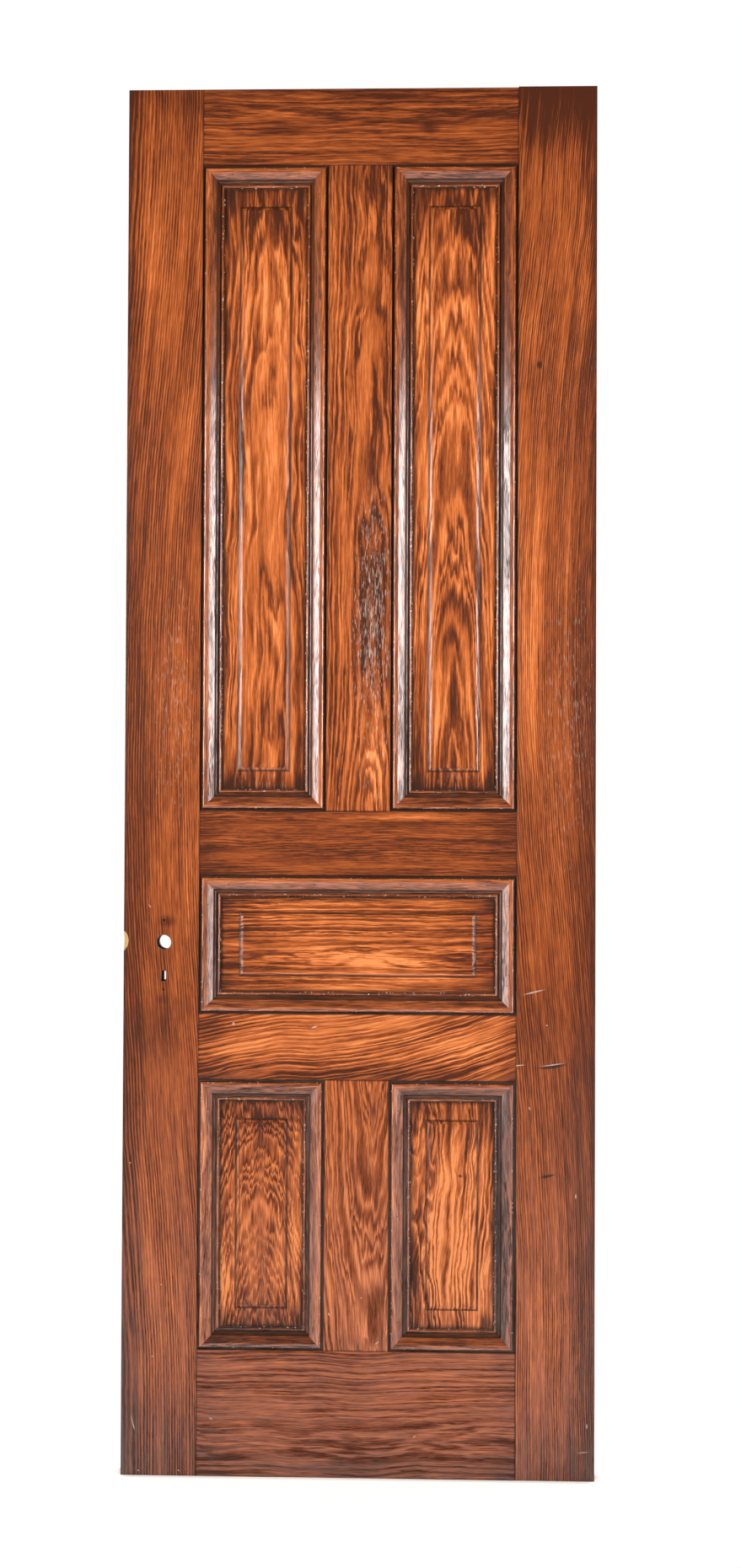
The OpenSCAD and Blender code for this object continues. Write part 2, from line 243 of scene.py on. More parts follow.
class Bench:
    """A node tree under work, with one way to add a node."""

    def __init__(self, tree):
        self.tree = tree
        tree.nodes.clear()

    def node(self, kind, settings=None, sockets=None, out=0):
        made = self.tree.nodes.new(kind)
        for name, setting in (settings or {}).items():
            if name == "stops":
                ramp = made.color_ramp.elements
                while len(ramp) < len(setting):
                    ramp.new(1.0)
                for stop, (place, shade) in zip(ramp, setting):
                    stop.position, stop.color = place, (*shade, 1.0)
            else:
                setattr(made, name, setting)
        for name, value in (sockets or {}).items():
            if isinstance(value, Value):
                self.tree.links.new(value.socket, made.inputs[name])
            else:
                made.inputs[name].default_value = value
        return Value(self, made.outputs[out]) if len(made.outputs) else made

    def vector(self, operation, *terms, out=0):
        return self.node("ShaderNodeVectorMath", {"operation": operation}, dict(enumerate(terms)), out)

    def split(self, point):
        made = self.node("ShaderNodeSeparateXYZ", None, {0: point}).socket.node
        return [Value(self, socket) for socket in made.outputs]

    def join(self, x, y, z):
        return self.node("ShaderNodeCombineXYZ", None, {0: x, 1: y, 2: z})

    def noise(self, point, per_mm, seed, detail, rough):
        where = self.vector("MULTIPLY_ADD", point, per_mm, (seed, 1.7 * seed + 3.1, 0.6 * seed + 11.7))
        return self.node(
            "ShaderNodeTexNoise", None, {"Vector": where, "Scale": 1.0, "Detail": detail, "Roughness": rough}
        )

    def spot(self, point, place, reach, turn=0.0, core=0.0):
        """1 in the middle of an oval, 0 outside it."""
        seated = self.node(
            "ShaderNodeMapping",
            {"vector_type": "TEXTURE"},
            {"Vector": point, "Location": place, "Rotation": (0.0, math.radians(turn), 0.0), "Scale": reach},
        )
        return self.vector("LENGTH", seated, out=1).fall(core, 1.0)

    def mix(self, share, under, over):
        return self.node("ShaderNodeMix", {"data_type": "RGBA"}, {0: share, 6: under, 7: over}, out=2)

    def shade(self, place, shades):
        stops = [(i / (len(shades) - 1), tuple(s)) for i, s in enumerate(shades)]
        return self.node("ShaderNodeValToRGB", {"stops": stops}, {0: place})


class Grain:
    """How one board was sawn and how the stain took to it. Lengths in millimetres."""

    upright = True  # grain runs along Z, or else along X
    heart = (0.0, 60.0)  # the tree's heart: place across the face, depth behind it
    middle = 0.0  # place along the grain where the heart is given
    lean = 0.0  # drift of the heart across the face, per millimetre along
    dive = 0.0  # drift of the heart into the board, per millimetre along
    ring = 6.0  # width of a year
    uneven = 1.2  # spread of the years' widths
    wander = 14.0  # slow waviness of the rings
    sweep = 420.0  # length of that waviness
    ripple = (3.0, 24.0, 80.0)  # quick waviness: depth, and size across and along
    feather = 8.0  # raggedness of the years along the grain
    tone = 0.5  # share of light stain
    band = 0.5  # contrast of the years
    fibre = 0.36  # contrast of the fibres
    streak = 0.4  # contrast of the streaks, broad and fine
    patch = (150.0, 11.0)  # size of the broadest streaks, along and across
    seed = 0.0
    rect = None  # left, right, bottom and top of the face that shows
    shade = ()  # darker sides: (side, reach, strength)
    zones = ()  # tone over a wide oval: (x, z, reach x, reach z, tone), and a turn where it leans
    bends = ()  # a sweep of the rings: (place along, reach, shift)
    pale = ()  # scratches: (x, z, half length, half width, turn)
    dark = ()  # knots, marks and cracks: (x, z, half length, half width, turn)
    worn = ()  # painted glints: whitish flecks in the colour where the varnish is crazing: (x, z, reach x, reach z)
    painted_glint = 0.24  # strength of those painted glints
    hollow = ()  # painted shade inside holes: (place, reach)
    level = FACE_Y  # where the face that carries the marks lies

    def __init__(self, **facts):
        for name, fact in facts.items():
            setattr(self, name, fact)


AT_FACE = (19.6, 21.8)  # from the door's middle: darker sides fade in towards the faces
MARK_DEPTH = 9.0  # how far a mark reaches from its face
MARK_CORE = 0.35  # share of a mark that is solid
THROUGH = 4000.0  # a reach that goes right through the door
DRIFT_WIDE = 900.0  # width of the rings' slow waviness
YEARS_TOGETHER = 3.3  # years whose widths change together
YEAR_OPENS, YEAR_CLOSES = (0.0, 0.3), (0.35, 1.0)  # the open grain's share of a year
MEAN_BAND = 0.3  # mean of the open grain, so that its contrast leaves the tone alone
PORE_SIZE, PORE_CUT, PORE_TONE = (14.0, 1.0), (0.42, 0.68), 0.22
FIBRE_SIZE = (32.0, 1.4)
BOLD_SIZE, BOLD_CUT, BOLD_LEAST = (200.0, 26.0), (0.28, 0.62), 0.3  # where the years show boldly
ZONE_STREAKS = 1.6  # how much the streaks break up a zone
SHADE_STREAKS = 1.4  # how much the streaks break up a darker side
PAINTED_GLINT, PAINTED_GLINT_CUT = (0.7, 0.7, 0.06), (0.68, 0.76)  # fineness of the painted glints on the crazing, per millimetre
CRACKLE, CRACKLE_CUT = (0.8, 0.8, 0.05), (0.55, 0.63)  # fineness of the crackled gloss, per millimetre
DRY_ROUGHNESS, DRY_SHINE = 0.6, 0.12
COAT_ROUGHNESS = 0.17
BOARD_SHINE, PANEL_SHINE, MOULDING_SHINE = 0.9, 0.7, 1.0
THICK_COAT, COAT_IOR = 1.0, 1.78
GRAIN_RELIEF, TORN_RELIEF, PUTTY_RELIEF = 0.1, 0.5, 0.05  # depth of the fine relief, in millimetres
DULLED = 0.28  # share of its gloss that the varnish has kept higher up
DULL_FROM, DULL_TO = 120.0, 800.0  # heights between which the gloss dulls
CLEAR, OUTER_SLACK = 20.0, 2.0  # a face is let out this far where it ends this near the door's edge


def oak(bench, point, grain):
    """Light share of the stain at each point, with the open grain and pores behind it."""
    x, depth, z = bench.split(point)
    along, across = (z, x) if grain.upright else (x, z)

    def fleck(space, long, wide, seed, detail=2.0, rough=0.5):
        per_mm = (1 / wide, 1 / wide, 1 / long)
        if not grain.upright:
            per_mm = per_mm[::-1]
        return bench.noise(space, per_mm, grain.seed + seed, detail, rough)

    run = along - grain.middle
    drift = (fleck(point, grain.sweep, DRIFT_WIDE, 1.3) - 0.5) * (2.0 * grain.wander)
    dip = (fleck(point, grain.sweep * 0.8, DRIFT_WIDE, 7.9) - 0.5) * (2.0 * grain.wander)
    ripple, ripple_wide, ripple_long = grain.ripple
    dip = dip + (fleck(point, ripple_long, ripple_wide, 4.4) - 0.5) * (2.0 * ripple)
    sideways = across + drift - (run * grain.lean + grain.heart[0])
    for place, reach, shift in grain.bends:
        sideways = sideways + ((along - place) * (1 / reach)).size().fall(0.0, 1.0) * shift
    inward = depth + dip + (run * grain.dive + (grain.heart[1] - FACE_Y))
    flow = bench.join(sideways, depth, along) if grain.upright else bench.join(along, depth, sideways)
    streaks = fleck(flow, *grain.patch, 12.7, 5.0, 0.66) - 0.5
    years = (sideways * sideways + inward * inward).root() + streaks * (2.0 * grain.feather)
    uneven = bench.node(
        "ShaderNodeTexNoise",
        {"noise_dimensions": "1D"},
        {"W": years * (1 / (YEARS_TOGETHER * grain.ring)) + grain.seed, "Scale": 1.0, "Detail": 2.0},
    )
    year = (years * (1 / grain.ring) + uneven * (2.0 * grain.uneven)).part()
    dashes = fleck(flow, *PORE_SIZE, 5.1, 1.0).rise(*PORE_CUT)
    fibres = fleck(flow, *FIBRE_SIZE, 9.3, 1.0) - 0.5
    bold = fleck(flow, *BOLD_SIZE, 15.1, 2.0).rise(*BOLD_CUT) * (1.0 - BOLD_LEAST) + BOLD_LEAST
    open_grain = year.rise(*YEAR_OPENS) * year.fall(*YEAR_CLOSES) * bold
    pores = dashes * (open_grain * 0.75 + 0.25)

    share = (MEAN_BAND - open_grain) * grain.band - pores * PORE_TONE + grain.tone
    share = share + fibres * (2.0 * grain.fibre) + streaks * (2.0 * grain.streak)
    for place_x, place_z, reach_x, reach_z, tone, *turn in grain.zones:
        patch = bench.spot(point, (place_x, 0.0, place_z), (reach_x, THROUGH, reach_z), *turn)
        share = share + patch * (streaks * ZONE_STREAKS + 1.0) * tone
    if grain.rect:
        left, right, bottom, top = grain.rect
        gone = {"left": x - left, "right": right - x, "bottom": z - bottom, "top": top - z}
        facing = depth.size().rise(*AT_FACE) if grain.level == FACE_Y else 1.0
        for side, reach, strength in grain.shade:
            ragged = gone[side] + streaks * (SHADE_STREAKS * reach)
            share = share - ragged.fall(0.0, reach) * (facing * strength)
    return share, open_grain, pores, streaks


def marks(bench, point, places, level):
    """One mask for a list of small marks on the front face."""
    found = None
    for x, z, half_length, half_width, turn in places:
        reach = (half_length, MARK_DEPTH, half_width)
        spot = bench.spot(point, (x, level, z), reach, turn, MARK_CORE)
        found = spot if found is None else found.most(spot)
    return found


def millimetres(bench, attribute=None):
    """Object coordinates, or a stored attribute, in millimetres."""
    if attribute:
        place = bench.node("ShaderNodeAttribute", {"attribute_name": attribute}, None, out=1)
    else:
        place = bench.node("ShaderNodeTexCoord", None, None, out=3)
    return bench.vector("MULTIPLY", place, (1 / MM, 1 / MM, 1 / MM))


def new_finish(name):
    finish = bpy.data.materials.new(name)
    finish.use_nodes = True
    return finish, Bench(finish.node_tree)


def varnish(bench, base, cover, height, relief, shine, coat=0.0):
    """Glossy varnish where cover is 1, and dry wood where pores and dirt break it."""
    bump = bench.node("ShaderNodeBump", None, {"Strength": 1.0, "Distance": relief * MM, "Height": height})
    dry, coated = (
        bench.node(
            "ShaderNodeBsdfPrincipled",
            None,
            {
                "Base Color": base,
                "Normal": bump,
                "Roughness": rough,
                "Specular IOR Level": level,
                "Coat Weight": over,
                "Coat Roughness": COAT_ROUGHNESS,
                "Coat IOR": COAT_IOR,
            },
        )
        for rough, level, over in ((DRY_ROUGHNESS, DRY_SHINE, 0.0), (COAT_ROUGHNESS, shine, coat))
    )
    surface = bench.node("ShaderNodeMixShader", None, {0: cover, 1: dry, 2: coated})
    bench.node("ShaderNodeOutputMaterial", None, {"Surface": surface})


def stain_shades(finish):
    return (
        finish.stain_black,
        finish.stain_dark,
        finish.stain_brown,
        finish.stain_russet,
        finish.stain_amber,
        finish.stain_gold,
    )


def rgba(picked):
    return (*picked, 1.0)


def worn_oak(name, grain, finish, soil=None, shine=BOARD_SHINE):
    """Stained, varnished and worn oak for one board, with painted glints where its varnish is crazing and
    painted shade inside its holes. Soil adds the dirt that gathers on it.
    """
    made, bench = new_finish(name)
    point = millimetres(bench)
    share, open_grain, pores, streaks = oak(bench, point, grain)
    base = bench.shade(share, stain_shades(finish))
    cover = 1.0 - (open_grain * 0.7 + pores * 0.5).least(1.0)
    height = 0.0 - pores - open_grain * 0.3 + streaks * 0.3
    if soil:
        dirt, gloss = soil(bench, point, streaks)
        base = bench.mix(dirt, base, rgba(finish.dirt))
        cover = cover * (1.0 - dirt * 0.7) * gloss
    dark = marks(bench, point, grain.dark, grain.level)
    if dark:
        base = bench.mix(dark * 0.85, base, rgba(finish.dirt))
    # Painted glints: whitish flecks in the colour over each oval stand in for light caught by the crazing
    # varnish.
    for count, (x, z, reach_x, reach_z) in enumerate(grain.worn):
        wear = bench.spot(point, (x, grain.level, z), (reach_x, MARK_DEPTH, reach_z))
        painted_glint = bench.noise(point, PAINTED_GLINT, grain.seed + count, 1.0, 0.5) + wear * 0.1
        painted_glint_mask = painted_glint.rise(*PAINTED_GLINT_CUT) * wear.rise(0.0, 0.2) * grain.painted_glint
        base = bench.mix(painted_glint_mask, base, rgba(finish.scratch_and_glint))
    # Painted shade inside holes: the dirt colour fills each oval and its gloss is taken away.
    for place, reach in grain.hollow:
        inside = bench.spot(point, place, reach, 0.0, 0.55)
        base = bench.mix(inside * 0.92, base, rgba(finish.dirt))
        cover = cover * (1.0 - inside)
    pale = marks(bench, point, grain.pale, grain.level)
    if pale:
        base = bench.mix(pale * (pores * 0.5 + 0.5), base, rgba(finish.scratch_and_glint))
        cover = cover * (1.0 - pale)
    varnish(bench, base, cover, height, GRAIN_RELIEF, shine)
    return made


def bare_oak(name, finish):
    """Broken wood with no stain on it."""
    made, bench = new_finish(name)
    point = millimetres(bench)
    grain = Grain(heart=(-420.0, 40.0), ring=4.0, tone=0.62, seed=41.0)
    share, open_grain, pores, streaks = oak(bench, point, grain)
    base = bench.shade(share, (finish.bare_dark, finish.bare, finish.bare))
    varnish(bench, base, 0.0, pores * 0.7 + streaks + open_grain * 0.2, TORN_RELIEF, BOARD_SHINE)
    return made


MERGE = 2e-6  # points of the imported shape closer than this, in metres, are one
FLAT_ANGLE = math.radians(0.3)


def eased_copy(node, choose, easing, name):
    """A node's own shape as one clean mesh, with the chosen edges eased."""
    shape = bmesh.new()
    shape.from_mesh(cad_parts[node].data)
    bmesh.ops.remove_doubles(shape, verts=shape.verts, dist=MERGE)
    bmesh.ops.dissolve_limit(shape, angle_limit=FLAT_ANGLE, verts=shape.verts[:], edges=shape.edges[:])
    chosen = [edge for edge in shape.edges if len(edge.link_faces) == 2 and choose(edge)]
    bmesh.ops.bevel(
        shape,
        geom=chosen,
        offset=easing,
        offset_type="OFFSET",
        segments=2,
        profile=0.5,
        affect="EDGES",
        clamp_overlap=True,
    )
    mesh = bpy.data.meshes.new(name)
    shape.to_mesh(mesh)
    shape.free()
    stored = mesh.attributes.get("custom_normal")
    if stored:
        mesh.attributes.remove(stored)
    return mesh


CHIP_CENTRE = Vector((-395.8, -36.8, 861.0))  # the ball that the part's chip was cut with
CHIP_RADIUS = 27.0
CHIP_SLACK = 0.15
CHIP_GRAIN = 5.5  # size of the torn fibres
CHIP_TEAR = 0.7  # depth of the tear


def tear_chip(mesh):
    """Gives the broken edge by the lock its own bare, torn surface."""
    shape = bmesh.new()
    shape.from_mesh(mesh)

    def broken(vert):
        return abs((vert.co / MM - CHIP_CENTRE).length - CHIP_RADIUS) < CHIP_SLACK

    torn = [face for face in shape.faces if all(broken(v) for v in face.verts)]
    inner = [e for e in shape.edges if len(e.link_faces) == 2 and all(f in torn for f in e.link_faces)]
    rim = {v for e in shape.edges for v in e.verts if any(f in torn for f in e.link_faces) and e not in inner}
    bmesh.ops.triangulate(shape, faces=torn)
    torn = [f for f in shape.faces if all(broken(v) for v in f.verts)]
    for face in torn:
        face.material_index = 1
    inner = [e for e in shape.edges if len(e.link_faces) == 2 and all(f in torn for f in e.link_faces)]
    bmesh.ops.subdivide_edges(shape, edges=inner, cuts=2, use_grid_fill=True)
    for vert in shape.verts:
        if vert in rim or not vert.link_faces or any(f.material_index != 1 for f in vert.link_faces):
            continue
        away = vert.co / MM - CHIP_CENTRE
        rough = noise.noise(Vector((vert.co.x, vert.co.y, vert.co.z / 3)) / (CHIP_GRAIN * MM))
        vert.co = (CHIP_CENTRE + away.normalized() * (CHIP_RADIUS + CHIP_TEAR * (rough + 0.6))) * MM
    shape.to_mesh(mesh)
    shape.free()


def placed(name, mesh, nodes, soft=14.0, flat_from=math.inf):
    """Hands a finished mesh to the frame as a piece that stands for these nodes.

    Edges sharper than soft, in degrees, stay crisp. Faces over flat_from square metres stay flat.
    """
    for face in mesh.polygons:
        face.use_smooth = face.area < flat_from
    mesh.set_sharp_from_angle(angle=math.radians(soft))
    piece = bpy.data.objects.new(name, mesh)
    bpy.context.scene.collection.objects.link(piece)
    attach(piece, BODY)
    if nodes:
        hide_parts(*nodes)


BROAD = 150.0 * MM * MM  # a face larger than this stays flat
FACE_SLACK = 2e-5
SHORTEST_ARRIS = 25.0 * MM
ARRIS_ANGLE, FIELD_ANGLE = math.radians(80), math.radians(8)
FIELD_RISE = 2.0  # a field's edges stand at least this proud of the panel


def on_face(edge):
    """A long straight edge round the front or back of a board."""
    level = abs(FACE_Y) * MM
    if any(abs(abs(v.co.y) - level) > FACE_SLACK for v in edge.verts):
        return False
    if edge.verts[0].co.y * edge.verts[1].co.y < 0 or edge.calc_length() < SHORTEST_ARRIS:
        return False
    return edge.calc_face_angle(0.0) > ARRIS_ANGLE


def on_field(edge):
    """An edge of a raised field, on the front or back of a panel."""
    proud = all(abs(v.co.y) / MM > SEAT + FIELD_RISE for v in edge.verts)
    return proud and edge.calc_face_angle(0.0) > FIELD_ANGLE


def board_rect(node):
    """The face of a board that shows between its neighbours."""
    low, high = mm_box(node)
    if node.endswith("rail"):
        return INNER_LEFT, INNER_RIGHT, low[2], high[2]
    if node.endswith("muntin"):
        opening = OPENING[node.split("_")[0] + "_left"]
        return low[0], high[0], opening[2], opening[3]
    return low[0], high[0], low[2], high[2]


# In these boards, worn places painted glints, and hollow places painted shade inside holes.
BOARDS = {
    "lock_stile": Grain(
        heart=(-400, 60), middle=1100, ring=3.6, uneven=0.5, wander=8, sweep=420, ripple=(2, 24, 80),
        feather=1.6, tone=0.42, band=0.42, streak=0.28, patch=(420, 8), seed=2,
        bends=((1150, 1150, 58),),
        shade=(("bottom", 200, 0.18), ("left", 8, 0.12), ("left", 50, 0.24), ("top", 60, 0.14)),
        zones=(
            (-350, 2010, 40, 200, 0.16), (-280, 1860, 26, 150, -0.06), (-275, 960, 28, 180, 0.18),
            (-275, 1680, 30, 140, 0.14), (-335, 715, 70, 80, -0.22), (-290, 250, 60, 230, 0.1),
            (-280, 2215, 50, 70, -0.12), (-315, 850, 30, 90, -0.1), (-330, 450, 60, 250, 0.06),
            (-311, 893, 20, 14, -0.3), (-318, 766, 16, 12, -0.2), (-312, 2000, 90, 330, 0.04),
        ),
        # painted shade inside the lock's holes
        hollow=(((-316, 0, 835), (42, 22, 110)),),
        pale=(
            (-361.5, 84, 17, 1.2, 75), (-368.4, 502, 1.6, 1.6, 0), (-317, 306.5, 1.4, 1.4, 0),
            (-330.6, 191.1, 1.4, 1.4, 0), (-352, 7.7, 2.4, 1.4, 30), (-286.9, 8.7, 2.4, 1.4, 30),
            (-339, 917, 4, 1.2, 60),
        ),
        worn=((-327.4, 1102, 14, 34), (-300, 1250, 50, 260)),
    ),
    "hinge_stile": Grain(
        heart=(190, 46), middle=1100, ring=3.3, uneven=0.6, wander=10, sweep=380, ripple=(2, 24, 80),
        feather=1.8, tone=0.44, band=0.4, streak=0.32, patch=(380, 8), seed=5,
        bends=((1350, 1050, 70),), worn=((335, 1230, 56, 330),),
        shade=(("top", 150, 0.6), ("bottom", 150, 0.18), ("right", 14, 0.12), ("right", 60, 0.26)),
        zones=(
            (362, 1950, 24, 220, 0.3), (272, 1360, 38, 440, 0.36), (290, 740, 60, 110, -0.16),
            (272, 1850, 30, 90, 0.18), (350, 620, 50, 220, -0.18), (300, 245, 50, 130, 0.16),
        ),
        pale=(
            (275.7, 595.3, 4, 1.3, 60), (350.3, 455, 5, 1.6, 90), (368.4, 88, 5, 1.3, 90),
            (363, 46.3, 12, 0.9, -5), (312.3, 665.3, 24, 1.3, -8), (257, 664, 14, 1.2, -6),
            (282.5, 782, 22, 1.6, -14), (303.3, 728.8, 2, 1.4, 0),
        ),
        dark=((288.5, 1796, 6, 9, 0), (305, 487, 17, 3.4, -12), (312, 663, 30, 5, -8)),
    ),
    "top_rail": Grain(
        upright=False, heart=(2205, 24), ring=6.4, wander=9, sweep=420, tone=0.345, band=0.42, seed=8,
        shade=(("right", 40, 0.08), ("top", 36, 0.14)),
        zones=(
            (-128, 2181, 70, 15, -0.3), (12, 2192, 42, 6, -0.25, -8), (110, 2182, 24, 13, -0.34),
            (190, 2202, 90, 6, -0.28, -14), (-210, 2170, 60, 20, 0.16), (-160, 2208, 110, 9, 0.16),
        ),
    ),
    "frieze_rail": Grain(
        upright=False, heart=(1240, 120), ring=3.6, uneven=0.8, wander=7, sweep=500, tone=0.335,
        band=0.3, seed=11, shade=(("left", 60, 0.16), ("right", 70, 0.14)),
        zones=((60, 1064, 170, 14, 0.26),),
    ),
    "lock_rail": Grain(
        upright=False, heart=(560, 30), lean=0.2, ring=6.6, wander=16, sweep=150, ripple=(4, 20, 60),
        feather=7, tone=0.71, band=0.6, seed=14, bends=((20, 240, 22),),
        shade=(("left", 60, 0.28), ("right", 40, 0.2), ("bottom", 40, 0.32)),
        zones=((170, 692, 90, 26, 0.24), (-225, 726, 60, 24, -0.24), (160, 730, 80, 12, -0.2)),
        pale=((-71, 723.3, 7, 1.8, -20), (-202, 727.7, 3, 3.4, 0)),
    ),
    "bottom_rail": Grain(
        upright=False, heart=(60, 46), ring=7, wander=16, sweep=260, tone=0.43, band=0.3, streak=0.3,
        patch=(240, 8), seed=17,
        shade=(("left", 90, 0.12), ("right", 50, 0.1), ("bottom", 60, 0.2)),
        zones=((110, 150, 140, 60, 0.08),), pale=((-235.2, 92.3, 4, 2, 30), (93, 68.1, 4, 1.2, -30)),
    ),
    "upper_muntin": Grain(
        heart=(18, 40), middle=1600, dive=0.04, ring=6, wander=15, sweep=300, ripple=(5, 22, 120),
        tone=0.505, band=0.6, seed=20, shade=(("top", 90, 0.2),),
        zones=(
            (25, 1160, 28, 130, 0.54), (20, 1410, 44, 270, -0.42), (28, 1830, 24, 90, -0.16),
            (-30, 1830, 22, 90, 0.12),
        ),
        worn=((20, 1340, 44, 330), (24, 1420, 40, 230), (14, 1380, 44, 280)),
        painted_glint=0.44,
    ),
    "lower_muntin": Grain(
        heart=(20, 40), middle=420, dive=-0.1, ring=5.6, wander=12, sweep=220, ripple=(6, 20, 120),
        tone=0.62, band=0.46, seed=23, shade=(("bottom", 40, 0.12),), zones=((30, 590, 22, 60, -0.2),),
        pale=((-45.3, 261.7, 4, 1.4, 60), (6.5, 288.8, 1.6, 1.6, 0), (31.9, 216.8, 5, 1.4, -40)),
    ),
}

# In these panels, worn places painted glints.
PANELS = {
    "upper_left": Grain(
        heart=(-146, 40), middle=1600, dive=0.03, ring=8, wander=14, sweep=260, ripple=(8, 20, 110),
        tone=0.62, band=0.55, streak=0.8, patch=(200, 15), seed=31,
        shade=(("top", 140, 0.42), ("bottom", 160, 0.2), ("bottom", 40, 0.34)),
        worn=((-157, 1125, 66, 26),),
        zones=(
            (-140, 1920, 50, 80, 0.2), (-150, 1640, 30, 220, 0.16), (-208, 1760, 26, 300, -0.2),
            (-104, 1270, 26, 120, -0.2),
        ),
    ),
    "upper_right": Grain(
        heart=(152, 44), middle=1600, dive=0.09, ring=7, wander=7, sweep=300, ripple=(4, 20, 160),
        tone=0.66, band=0.6, streak=0.65, seed=34,
        shade=(("top", 150, 0.36), ("bottom", 160, 0.18), ("bottom", 40, 0.32)),
        worn=((150, 1125, 66, 26),),
        zones=(
            (100, 1870, 40, 110, 0.2), (152, 1710, 26, 80, 0.24), (152, 1370, 34, 170, -0.28),
            (94, 1290, 26, 100, -0.2), (205, 1165, 26, 70, 0.28),
        ),
    ),
    "middle": Grain(
        upright=False, heart=(836, 14), ring=5.6, wander=9, sweep=300, tone=0.68, band=0.56, seed=37,
        shade=(("left", 120, 0.3), ("right", 150, 0.34)), zones=((20, 838, 170, 34, 0.2),),
    ),
    "lower_left": Grain(
        heart=(-156, 70), middle=420, dive=0.2, ring=4.8, wander=9, sweep=160, ripple=(3, 26, 60),
        feather=9, streak=0.62, patch=(110, 9), tone=0.63, band=0.62, seed=43,
        shade=(("top", 110, 0.3), ("bottom", 90, 0.26)),
        zones=(
            (-215, 305, 28, 90, 0.5), (-156, 350, 24, 44, -0.12), (-156, 570, 40, 50, -0.16),
            (-100, 390, 24, 80, 0.18),
        ),
        dark=((-191.5, 425, 190, 1, 89.6),),
    ),
    "lower_right": Grain(
        heart=(70, 60), middle=420, lean=0.1, dive=0.07, ring=6.4, wander=12, sweep=150,
        ripple=(12, 22, 80), feather=7, streak=0.55, patch=(110, 13), tone=0.83, band=0.78, seed=47,
        shade=(("top", 150, 0.34), ("bottom", 50, 0.2), ("left", 44, 0.3), ("right", 28, 0.22)),
        zones=((160, 355, 80, 80, 0.22),), dark=((165, 484.3, 6, 4, 10),),
    ),
}


END_DIRT, SIDE_DIRT = (3.0, 0.6), (2.6, 0.5)  # reach and strength along a board's ends and sides
SEAM_STREAKS, PANEL_STREAKS = 4.0, 12.0  # how far the streaks push the dirt about
MARGIN_DIRT_AND_SHADE, MARGIN_X, MARGIN_Z = 0.74, 6.5, 8.5  # dirt and painted shade along a panel's mouldings, and its reaches
CORNER_DIRT, CORNER_X, CORNER_Z = 0.75, (2.0, 30.0), (2.0, 40.0)
FIELD_SLOPE = 6.5  # width of the slope round a raised field
FIELD_LINE, FIELD_LINE_FADE = 0.8, (0.6, 2.9)  # dark line at the slope's foot, as dark as the margin's dirt and painted shade
SLOPE_START, SLOPE_END = (-1.5, 0.5), (6.0, 8.0)


def dulled(bright):
    """Gloss of the varnish: whole where bright is 1, dulled where it is 0."""
    return bright * (1.0 - DULLED) + DULLED


def joints_of(rect):
    """A face's outline, let out past the door's own edges, where there is no joint to gather dirt."""
    low, high = ([value / MM for value in corner] for corner in CAD_BOX)
    left, right, bottom, top = rect
    return (
        left - CLEAR * (left < low[0] + OUTER_SLACK),
        right + CLEAR * (right > high[0] - OUTER_SLACK),
        bottom - CLEAR * (bottom < low[2] + OUTER_SLACK),
        top + CLEAR * (top > high[2] - OUTER_SLACK),
    )


def seam_soil(rect, ends, sides):
    """Dirt along the joints of a board, by reach and strength, and the gloss left on it."""

    def soil(bench, point, streaks):
        x, _, z = bench.split(point)
        left, right, bottom, top = rect
        level = (x - left).least(right - x) + streaks * SEAM_STREAKS
        upright = (z - bottom).least(top - z) + streaks * SEAM_STREAKS
        level_fit, upright_fit = (sides, ends) if top - bottom > right - left else (ends, sides)
        dirt = level.fall(0.0, level_fit[0]) * level_fit[1]
        dirt = dirt.most(upright.fall(0.0, upright_fit[0]) * upright_fit[1])
        return dirt, dulled(z.fall(DULL_FROM, DULL_TO))

    return soil


def panel_soil(rect, foot):
    """Dirt in a panel's corners, dirt and painted shade along its mouldings and round its field, and the
    gloss left on it.
    """

    def soil(bench, point, streaks):
        x, _, z = bench.split(point)

        def inside(box):
            middle_x, half_x = (box[0] + box[1]) / 2, (box[1] - box[0]) / 2
            middle_z, half_z = (box[2] + box[3]) / 2, (box[3] - box[2]) / 2
            return half_x - (x - middle_x).size(), half_z - (z - middle_z).size()

        gap_x, gap_z = inside(rect)
        ragged = streaks * PANEL_STREAKS
        # Darker along the mouldings, with dirt and painted shade; darker corners; a dark line at the field's
        # foot.
        beside = (gap_x + ragged).fall(0.0, MARGIN_X)
        dirt = beside.most((gap_z + ragged).fall(0.0, MARGIN_Z)) * MARGIN_DIRT_AND_SHADE
        corner = (gap_x + ragged).fall(*CORNER_X) * (gap_z + ragged).fall(*CORNER_Z)
        foot_x, foot_z = inside(foot)
        edge = foot_x.least(foot_z)
        line = (edge - FIELD_LINE).size().fall(*FIELD_LINE_FADE) * MARGIN_DIRT_AND_SHADE
        slope = edge.rise(*SLOPE_START) * edge.fall(*SLOPE_END)
        dirt = dirt.most(corner * CORNER_DIRT).most(line)
        return dirt, dulled(slope.most(z.fall(DULL_FROM, DULL_TO)))

    return soil


class DOOR_OT_boards(bpy.types.Operator):
    """Makes the stiles, rails and muntins from the part's own shapes."""

    bl_idname = "door.boards"
    bl_label = "Stiles, Rails and Muntins"

    def execute(self, context):
        sizes, finish = context.scene.door_sizes, context.scene.door_finish
        bare = bare_oak("bare_broken_oak", finish)
        for node, grain in BOARDS.items():
            grain.rect = board_rect(node)
            mesh = eased_copy(node, on_face, sizes.arris, node)
            soil = seam_soil(joints_of(grain.rect), END_DIRT, SIDE_DIRT)
            mesh.materials.append(worn_oak(f"stained_{node}", grain, finish, soil))
            if node == "lock_stile":
                mesh.materials.append(bare)
                tear_chip(mesh)
            placed(f"{node}_board", mesh, [node], flat_from=BROAD)
        return {"FINISHED"}


